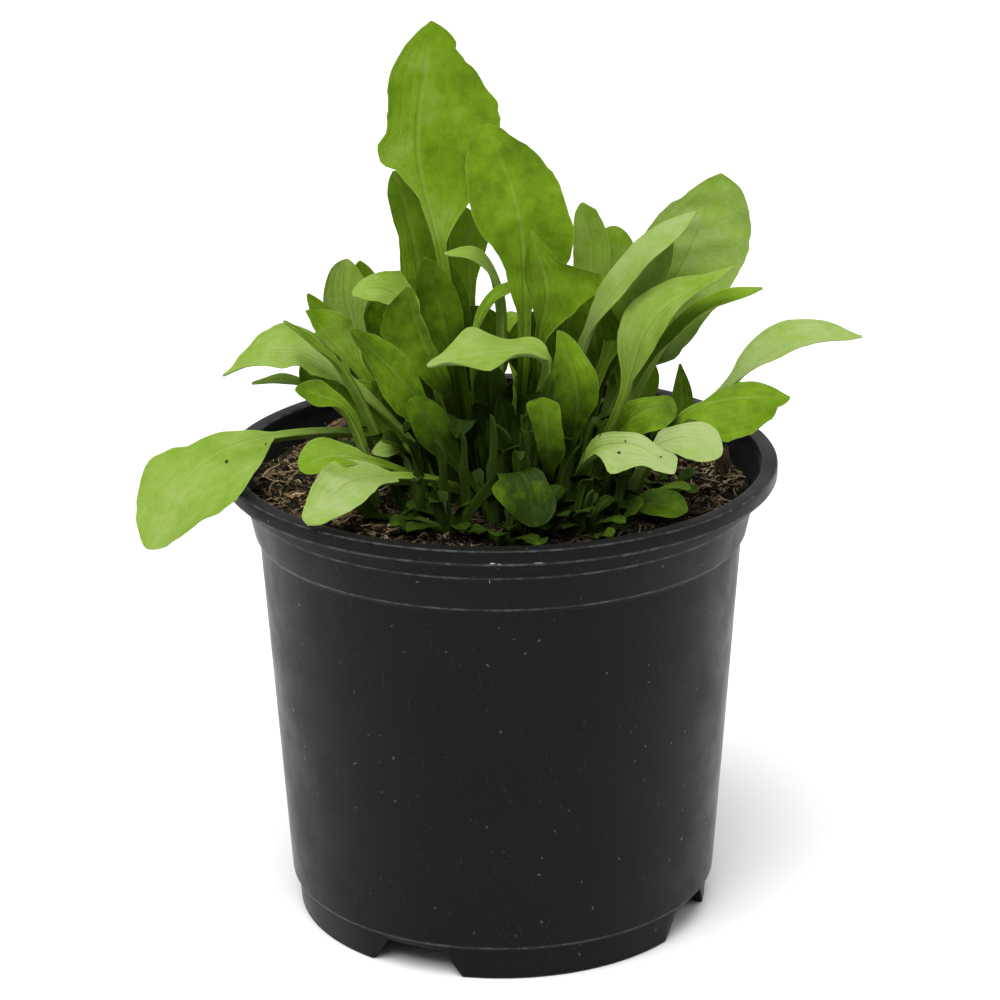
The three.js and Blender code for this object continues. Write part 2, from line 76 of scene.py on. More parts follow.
DRAINS = {"ring": 37, "radius": 3.6, "centre": 4.5, "sides": 32, "heights": (5, 10)}
PLASTIC = {"dark": (0.0025, 0.0025, 0.0028), "light": (0.0055, 0.0056, 0.006)}
# What lies over the plastic's black, from the lowest: how much of it shows, and its colour. The pale
# edges are partly wear and partly painted highlight lines
WEAR = {"marks": (0.25, (0.05, 0.05, 0.052)), "dust": (0.3, (0.06, 0.06, 0.06)),
        "specks": (0.4, (0.17, 0.17, 0.17)), "wear_and_highlight": (0.65, (0.095, 0.097, 0.1)),
        "chips": (0.6, (0.5, 0.5, 0.5))}
# The pale edges: partly wear, partly painted highlight lines along the moulded edges
EDGE_WEAR_AND_HIGHLIGHT = (0.00015, 0.00055)  # where an edge's wear starts to fade and where it ends, in metres
FLARE = (0.1028, 0.1036, 0.1078, 0.1086)  # the lip's slope, which is duller: its heights in metres
NICKS = [((-1.9, -65, 108.7), (0.8, 3, 0.26)), ((-0.4, -65, 108.5), (0.5, 3, 0.16)),
         ((8.1, -64.6, 108.6), (1.6, 3, 0.1)), ((-2.5, -59.9, 102.4), (0.14, 3, 0.6))]  # pale chips

# Soil
SOIL_TOP = 105
SOIL_RADIUS = 58.6
SOIL_SIDE = [(56.1, 95.3), (48.5, 8.65)]  # the corners below its edge: radius and height
SOIL_RINGS = 84  # of points on its surface
SOIL_SPOKES = 220
# Painted shade under the leaves: where the soil's colour is darkened, in metres, and how dark it is
# there
SHADE_UNDER_LEAVES = {"at": (0.02, -0.034, 0.105), "near": 0.024, "far": 0.056, "dark": 0.16}
# Bark and peat: dark, middle and light colours
BARKS = {
    "peat": ((0.004, 0.003, 0.002), (0.02, 0.014, 0.008), (0.07, 0.048, 0.027)),
    "peat crumbs": ((0.006, 0.004, 0.003), (0.034, 0.023, 0.012), (0.26, 0.19, 0.1)),
    "bark fibres": ((0.02, 0.014, 0.008), (0.21, 0.15, 0.08), (0.78, 0.6, 0.35)),
    "bark chips": ((0.01, 0.007, 0.004), (0.075, 0.048, 0.024), (0.36, 0.25, 0.13)),
    "old bark": ((0.03, 0.02, 0.013), (0.17, 0.11, 0.07), (0.5, 0.36, 0.24)),
}
# Larger pieces of bark: the middle, the length, width and thickness, and the turns in degrees
BARK_PIECES = [
    ((52.3, 1, 109.3), (10, 4.2, 2.6), (0, -82, 25)),
    ((-40, 37.5, 106.6), (9, 4, 2.4), (8, -14, 40)),
    ((-32, 42, 106), (8, 4, 2.2), (0, 8, -20)),
    ((-46.5, 25, 105.8), (7, 3.5, 2), (5, 0, 70)),
    ((44, -22, 105.4), (7, 3, 1.8), (6, 5, 30)),
]
SPLINTERS = 7  # in each of them

# Leaves
ROOT_Z = 99.4  # where a petiole ends in its hole
FOOT_Z = 106.6  # and where it leaves the soil
STALK = 1.1  # half a petiole's width
STALK_TAPER = 0.9
BLADE = 0.42  # thickness of a blade
BROAD = 13  # the width from which a blade is scalloped
TOOTHED = 9  # and from which it is toothed
COLUMNS = {"broad": 31, "toothed": 21, "narrow": 15, "small": 13}  # of points across a blade
STEPS = {"leaf": (2.2, 1.0), "young": (1.2, 0.8), "inner": (2, 1.2)}  # along petiole and blade
TIP_CROWDING = 1.35  # above 1, the steps are shorter towards the tip
WING = 0.1  # how far the blade runs down the petiole's sides, for each millimetre of width
YOUNG = {"stalk": 0.8, "arch": 1.2, "root": 2.5, "foot": 1, "tone": 0.07}
VEINS = 3.6  # side veins in half a blade
RIB = {"petiole": 1.25, "blade": 0.55, "spread": 0.75}  # under the midrib
GROOVE = {"depth": 0.22, "spread": 0.4}  # over the midrib
SCALLOPS = {"depth": 0.2, "count": 3.2, "offset": 0.3}
TEETH = {"apart": 8, "reach": (0.012, 0.03), "size": (0.015, 0.045)}
WAVES = {"count": 1.7, "offset": 0.21}
RIPPLES = {"count": 6, "sizes": (5, 16), "height": 0.45}
BULGE = 0.035  # between the side veins
THIN_MARGIN = 0.3  # the share of a blade's thickness that its margin keeps
CLOSED = 0.5  # how far the petiole's sides bend up
USUAL_TONE = 0.45
GOLDEN_TURN = 2.39996  # spreads leaves evenly about a middle, in radians

# Camera
CAMERA = {"lens": 126, "sensor": 36, "distance": 824.4, "aim": (-0.08, 0, 100.42),
          "elevation": 19.44, "roll": -0.41}

# Light: how bright the room is on each side, and the lamp above
ROOM = {"front": 0.25, "back": 0.8, "top": 0.3}
LAMP = {"power": 3.3, "softness": 45, "from": (-0.2, -0.5, 1)}
FLOOR_REACH = 4000


def leaf(name, foot, neck, belly, tip, **options):
    """A leaf's row: its foot on the soil, its neck where the blade starts, a point half way along
    the midrib, and its tip. face is the compass angle that its upper side would look to if it stood
    upright, roll and twist turn it about the midrib, cup bends its margins up, skew widens the side
    on the right of the upper face, and tone runs from 0, deep green, to 1, pale: partly the leaf's own
    green, partly painted light and shade for how brightly the leaf is lit."""
    row = {"name": name, "foot": foot, "neck": neck, "belly": belly, "tip": tip,
           "width": 12, "face": 0, "roll": 0, "twist": 0, "cup": 0.22, "skew": 0, "wave": 0.08,
           "phase": 0, "peak": 0.6, "blunt": 0.74, "stalk": STALK, "via": None, "wing": WING,
           "root_z": ROOT_Z, "foot_z": FOOT_Z, "tone": USUAL_TONE}
    row.update(options)
    return row


LEAVES = [
    # The tall leaves at the back of the rosette
    leaf("leaf_tallest", (-6, 6), (-13.5, 8, 159), (-18.5, 12, 182), (-15, 16, 211.4),
         width=28, face=-85, skew=0.4, cup=0.3, peak=0.48, blunt=0.78, phase=0.2, tone=0.49),
    leaf("leaf_behind_tallest", (-12, 12), (-17, 19, 138), (-20.5, 21, 160), (-24.5, 22, 174.6),
         width=12, face=-90, skew=0.4, blunt=0.8, tone=0.38),
    leaf("leaf_tall_middle", (4, -1), (6, -4, 147), (4.5, -2, 171), (-2.5, 2, 190.6),
         width=24, face=-95, cup=0.3, peak=0.5, blunt=0.8, phase=0.6, tone=0.42),
    leaf("leaf_back_left", (-3, 13), (-6.5, 15.5, 142), (-7, 18, 156), (-9, 20, 167),
         width=9, face=-90),
    leaf("leaf_back_middle", (12, 6), (19.5, 8, 136), (21.5, 12, 158), (19.5, 13, 169),
         width=10, face=-100, blunt=0.5, tone=0.65),
    leaf("leaf_back_right", (15, 13), (22.5, 13, 131), (27, 17, 152), (27, 19.5, 161.7),
         width=12, face=-90, blunt=0.5, tone=0.6),
    leaf("leaf_broad_right", (21, 10), (31, 11, 130), (45, 14, 157), (52, 15, 175.2),
         width=21, face=-105, skew=0.15, cup=0.25, peak=0.58, blunt=0.68, phase=0.4, tone=0.78),
    leaf("leaf_curled", (9, -7), (9, -9, 142), (11, -11, 155), (7.5, -11, 168.5),
         width=18, face=-95, skew=0.4, cup=0.9, peak=0.55, blunt=0.7),
    leaf("leaf_thin_arch_left", (-1, 5), (0.5, 3, 150), (-5, 3.5, 159), (-12.5, 4, 159.5),
         width=5, face=0, roll=20, tone=0.62),
    leaf("leaf_thin_arch_right", (-4, -3), (-6, -2.5, 140), (-2, -1, 149.6), (5, 0, 153.8),
         width=5, face=180, roll=-20),

    # The right side, from the back to the front
    leaf("leaf_edge_on", (14, -1), (19, 0, 138), (31, 2, 157), (45.5, 5, 168.8),
         width=10, face=190, roll=-20, blunt=0.9, tone=0.8),
    leaf("leaf_between_right", (17, 5), (24, 5, 131), (33, 7, 149), (40, 8.5, 163),
         width=10, face=220, roll=-20, tone=0.64),
    leaf("leaf_arched_right", (20, -6), (28, -8, 127), (35.5, -7, 147), (54, -2, 157.7),
         width=14.5, face=190, roll=-32, twist=28, skew=-0.2, peak=0.5, blunt=0.9, tone=0.68),
    leaf("leaf_under_right", (24.5, 0.5), (34, 1.5, 132), (46.5, 1, 146.5), (60.9, 2, 151.4),
         width=8, face=185, roll=-8, blunt=0.9, tone=0.48),
    leaf("leaf_far_right", (29, -4), (50.5, -3, 127), (66, -2, 139), (84.1, 0, 140.1),
         wing=0.06, width=11.5, face=180, roll=-22, skew=-0.3, cup=0.45, peak=0.45, blunt=1,
         tone=0.85),
    leaf("leaf_folded_right", (31, -10.5), (43, -16, 127), (54.5, -15, 130), (66.6, -13, 129.6),
         width=19, face=178, roll=-28, cup=-0.8, blunt=0.55, tone=0.43),
    leaf("leaf_spike", (38, -3), (42, -2, 119), (42.5, -1, 127), (42, 0, 133.6),
         width=5, face=-90, peak=0.35, blunt=1, tone=0.2),
    leaf("leaf_behind_arch", (26, 13), (29, 16, 114), (33.5, 19.5, 123), (35.2, 22, 129),
         width=9, face=-90),
    leaf("leaf_square_right", (24, -13), (27, -14, 121), (33.5, -16, 127.5), (40.5, -16, 128),
         width=11, face=180, roll=-40, blunt=0.35, tone=0.3),

    # The front
    leaf("leaf_pale_right", (28, -18), (35, -25, 121.5), (43, -28, 124.5), (50, -30, 121.5),
         width=13, face=165, roll=-30, blunt=0.4, tone=0.92),
    leaf("leaf_pale_front", (15, -18), (22, -28, 122.5), (31, -34, 124.5), (39, -38, 120),
         width=14, face=150, roll=-42, blunt=0.5, tone=1),
    leaf("leaf_upright_front", (12, -12), (17, -16, 122), (17.5, -17, 134), (13.4, -15, 146.4),
         width=12, face=-90, cup=0.3, peak=0.5, blunt=0.7),
    leaf("leaf_short_front", (9, -21), (11, -30, 119), (10.5, -32, 129), (9.5, -31, 135.6),
         width=8.5, face=-90, peak=0.7, blunt=0.3),
    leaf("leaf_wavy_centre", (3, -13), (11, -18, 141), (0, -20, 143), (-16.4, -22, 140.5),
         via=(9, -15, 127), wing=0.03, width=18, face=0, roll=6, cup=0.3, wave=0.2, peak=0.5,
         blunt=0.7, tone=0.8),
    leaf("leaf_hanging_front", (-8, -30), (0, -35, 118), (5, -41, 120.5), (7.8, -46.5, 110.4),
         width=14, face=115, blunt=0.5, tone=0.25),
    leaf("leaf_dark_front", (-3, -24.5), (-10, -24, 118), (-16, -26, 128), (-20, -26, 134),
         width=9, face=-60, blunt=0.5, tone=0.28),

    # The left side
    leaf("leaf_front_left", (-5, -17.5), (-24, -24, 114.6), (-34, -36, 117), (-42.4, -52, 113.6),
         via=(-12, -21, 112.5), wing=0.05, width=14, face=53, roll=8, blunt=0.55, tone=0.85),
    leaf("leaf_round_left", (-12, -14), (-31, -20, 117.5), (-39.5, -22, 119), (-45.5, -24, 116.4),
         width=11, face=12, roll=25, blunt=0.5, tone=0.54),
    leaf("leaf_tiny_left", (-19.5, -12.5), (-21.5, -13.5, 117), (-25, -13.5, 118), (-29.5, -13.5, 117),
         width=5, face=0, roll=30, tone=0.9),
    leaf("leaf_far_left", (-14, -8.5), (-52.5, -5, 118.5), (-70, -12, 113.5), (-81.5, -22, 97),
         via=(-24, -6, 117.5), wing=0.02, width=27.5, face=15, roll=16, skew=-0.17, blunt=0.6,
         tone=0.67),
    leaf("leaf_left_dark", (-8, -13), (-14, -17, 124), (-25, -19, 139.4), (-33.5, -18.5, 147.9),
         width=14, face=-45, peak=0.55, tone=0.27),
    leaf("leaf_left_bright", (-7, -6.5), (-12, -9, 130), (-18, -10, 144), (-21, -10, 155.5),
         width=20, face=-80, skew=-0.3, cup=0.3, peak=0.5, tone=0.31),
    leaf("leaf_left_round", (-10, 0), (-19, -2, 146), (-26.5, -4, 153.2), (-33.6, -6, 152.8),
         width=10, face=0, roll=28, peak=0.5, blunt=0.45, tone=0.65),
    leaf("leaf_left_upright", (-14.5, 6), (-31, 9, 134), (-35.5, 10, 147), (-35.4, 11, 156.4),
         width=12, face=-85, cup=0.4, blunt=0.5, tone=0.7),
    leaf("leaf_left_light", (-18, 0.5), (-32.5, 0.5, 132), (-39, 0.5, 140), (-44.5, 1, 147),
         width=11, face=-45, tone=0.47),
    leaf("leaf_left_pointed", (-20, 5), (-31, 5, 133), (-38, 5.5, 142), (-44.4, 5.5, 149.6),
         width=8, face=-60, tone=0.34),
    leaf("leaf_left_thin", (-24, -7.5), (-34.5, -9, 134), (-42, -9.5, 142), (-49.2, -8.5, 147.4),
         width=5, face=0, tone=0.4),
    leaf("leaf_left_arching", (-14, -3), (-36, -4, 132), (-50.5, -3, 138.5), (-64.2, -2, 132.4),
         width=13.5, face=2, roll=27, twist=-12, skew=-0.15, cup=0.45, peak=0.5, blunt=1, tone=0.75),
    leaf("leaf_left_low_thin", (-25, 2.5), (-40, 3, 126), (-50, 4, 129.2), (-58, 4, 128.6),
         width=6, face=0, tone=0.42),
    leaf("leaf_left_low", (-28, -17), (-35, -14.5, 128), (-41, -14, 131), (-46.7, -14, 132.8),
         width=8, face=0, roll=25, tone=0.36),

    # Low on the soil at the front right
    leaf("leaf_low_right", (24, -24), (29, -27.5, 108.6), (35, -29, 109.6), (42.5, -30.5, 108.4),
         width=9, face=170, roll=-28, tone=0.19),
    leaf("leaf_low_right_small", (33, -19), (37, -23, 111), (40, -24, 112), (43.5, -24, 111.4),
         width=5, face=160),

    # The back of the rosette
    leaf("leaf_rear_left", (-18, 11), (-33, 19, 125), (-44, 26, 132), (-54, 33, 127),
         width=14, face=-35),
    leaf("leaf_rear_left_inner", (-12, 18), (-20, 29, 118), (-28, 40, 131), (-36, 50, 126),
         width=15, face=-53),
    leaf("leaf_rear_middle", (-5, 19.5), (-7, 31, 112), (-10, 43, 122), (-12.5, 55, 117),
         width=15, face=-78, tone=0.35),
    leaf("leaf_rear_middle_right", (3, 20), (5, 30, 118), (8.5, 43, 132), (10, 55, 128),
         width=15, face=-98),
    leaf("leaf_rear_right", (10, 19), (17, 28, 118), (24, 38, 132), (30, 48, 130),
         width=16, face=-122),
    leaf("leaf_rear_right_short", (21, 18), (28, 25, 118), (32, 31, 122), (35, 37, 118),
         width=10, face=-122),
]

# The leaves that close the rosette behind and between the ones above
HEART_LEAVES = [
    leaf("heart_left_tall", (-8, 6), (-10.5, 4, 128), (-13.5, 3, 146), (-17, 2, 159),
         width=10, face=-90, tone=0.24),
    leaf("heart_left_inner", (-6, 9), (-9, 8, 128), (-10.8, 8, 147), (-12.5, 8, 157),
         width=8, face=-95, tone=0.24),
    leaf("heart_left_back", (-13, 14), (-17, 15, 122), (-20, 16, 138), (-21, 17, 150),
         width=13, face=-90, tone=0.24),
    leaf("heart_middle", (-3, 13), (-3.8, 12, 122), (-5, 12, 136), (-6.5, 12, 144.5),
         width=15, face=-90, blunt=0.5, tone=0.24),
    leaf("heart_middle_right", (6, 14), (8, 14, 122), (9, 14, 134), (9, 13, 143),
         width=15, face=-92, phase=0.4, tone=0.36),
    leaf("heart_right", (14, 8), (15.5, 9, 126), (15, 10, 140), (14, 11, 150),
         width=12, face=-88, tone=0.36),
    leaf("heart_right_back", (19, 8), (22.5, 7, 124), (22.5, 7, 138), (20, 6, 149),
         width=13, face=-95, tone=0.36),
    leaf("heart_right_low", (22, 9), (29, 9, 122), (32, 9, 134), (34, 8, 144),
         width=11, face=-95, tone=0.36),
    leaf("heart_left_twin", (-14, 12), (-27, 14, 132), (-31.5, 15, 147), (-32.5, 14, 155),
         width=9, face=-90, tone=0.55),
    leaf("heart_left_fill", (-14, 10), (-21, 11, 128), (-25, 11, 141), (-27, 10, 149),
         width=13, face=-92, tone=0.24),
    leaf("heart_left_low", (-16, 9), (-24, 10, 120), (-29, 11, 130), (-33, 11, 138),
         width=12, face=-80, tone=0.24),
    leaf("heart_left_front", (-17, -5), (-26.3, -4.5, 119.8), (-31.8, -4, 125.2), (-37.3, -4, 129.9),
         width=11, face=-62, tone=0.36),
    leaf("heart_left_hanging", (-21, 1), (-36.9, 3, 125), (-41.8, 5, 130.3), (-45.2, 6, 134.5),
         width=12, face=-62, blunt=0.6, tone=0.42),
    leaf("heart_left_under", (-18, 0), (-24.5, 0, 115.4), (-29.9, 3, 118.4), (-35.6, 5, 120.8),
         width=11, face=-58, phase=0.5, tone=0.24),
]

# A young plant: its place on the soil, its leaves' tips from there, and their width
YOUNG_PLANTS = [
    ("young_front_left", (-12, -36), [(-12, 3, 3), (-9, -6, 3), (4, -8, 4), (5, -2, 8), (-3, 4, 9)], 5),
    ("young_front", (1, -44), [(-9, 2, 3), (7, -6, 3), (3, 4, 8), (-2, -7, 5)], 5),
    ("young_front_middle", (9, -37), [(-6, 4, 9), (6, -6, 7), (5, 5, 10), (1, -7, 4)], 5),
    ("young_front_right", (19, -36), [(-5, -7, 4), (9, -4, 4), (1, 6, 8), (7, 4, 7)], 5),
    ("young_right", (38, -15), [(7, -5, 4), (8, 4, 6), (-4, -4, 6)], 5),
    ("young_centre_back", (-1.5, -8.5), [(-3, -4, 24), (4, -2, 28), (-1, 4, 31)], 8),
    ("young_centre_front", (3, -20), [(-4, -3, 22), (-3, 2, 27), (2, -6, 18)], 8),
    ("young_rear_left", (-24, 25), [(-9, 5, 6), (-2, 9, 5), (6, 7, 9), (-8, -3, 9)], 5),
    ("young_rear", (0, 36), [(-6, 7, 6), (7, 8, 6), (0, -5, 9)], 5),
    ("young_rear_right", (37, 27), [(7, 5, 5), (1, 9, 4), (6, -5, 6)], 5),
]

# The small leaves and stalks in the rosette's heart: how many, the patch that they stand on, how
# far they reach and rise, and their widths and tones
INNER = {
    "inner_leaves": {"seed": 3, "count": 40, "at": (0, 4), "patch": (28, 24), "reach": (8, 17),
                     "rise": (12, 27), "width": (6, 10), "tone": (0.05, 0.22)},
    "inner_leaves_front": {"seed": 8, "count": 20, "at": (3, -30), "patch": (30, 16), "reach": (5, 11),
                           "rise": (4, 10), "width": (4, 6), "tone": (0, 0.15)},
    "inner_stalks": {"seed": 5, "count": 34, "at": (3, -25), "patch": (27, 14), "reach": (2, 8),
                     "rise": (14, 27), "width": (2.2, 3.6), "tone": (0, 0.16)},
}

# Each side of a leaf: its greens from the deepest tone to the palest, its veins, the colour of the
# light that passes through it, and its roughness
LEAF_SIDES = {
    "leaf upper side": (
        [(0.0, (0.015, 0.034, 0.0006)), (0.22, (0.062, 0.124, 0.002)), (0.5, (0.16, 0.29, 0.008)),
         (0.75, (0.255, 0.385, 0.065)), (1.0, (0.365, 0.46, 0.175))],
        (0.34, 0.46, 0.1), (0.27, 0.44, 0.006), 0.5),
    "leaf underside": (
        [(0.0, (0.017, 0.036, 0.001)), (0.22, (0.066, 0.126, 0.005)), (0.5, (0.155, 0.27, 0.018)),
         (0.75, (0.235, 0.35, 0.065)), (1.0, (0.33, 0.42, 0.15))],
        (0.3, 0.4, 0.13), (0.25, 0.42, 0.008), 0.62),
}
# Painted shade: the greens are darkened towards the rosette's heart, over these reaches in millimetres,
# by this much
PAINTED_HEART_SHADE = {"at": (3, -14, 106), "reach": (38, 48, 46), "shade": 0.5}  # where greens are deepest
SHEER = {"deep": 0.05, "pale": 0.24}  # the share of light that passes through
BITTEN = (0.01, 0.02, 0.004)
BITES = [((-63, -13.8, 115.2), (0.6, 1.5, 0.4)), ((-54.2, -8.6, 117.6), (0.3, 1.2, 0.25)),
         ((28.2, -31.8, 125.4), (0.35, 1.5, 0.3)), ((26.7, -33.2, 123.2), (0.6, 1.5, 0.35)),
         ((36, -35.8, 123), (0.35, 1.5, 0.28))]  # small holes in the pale leaves: place and size

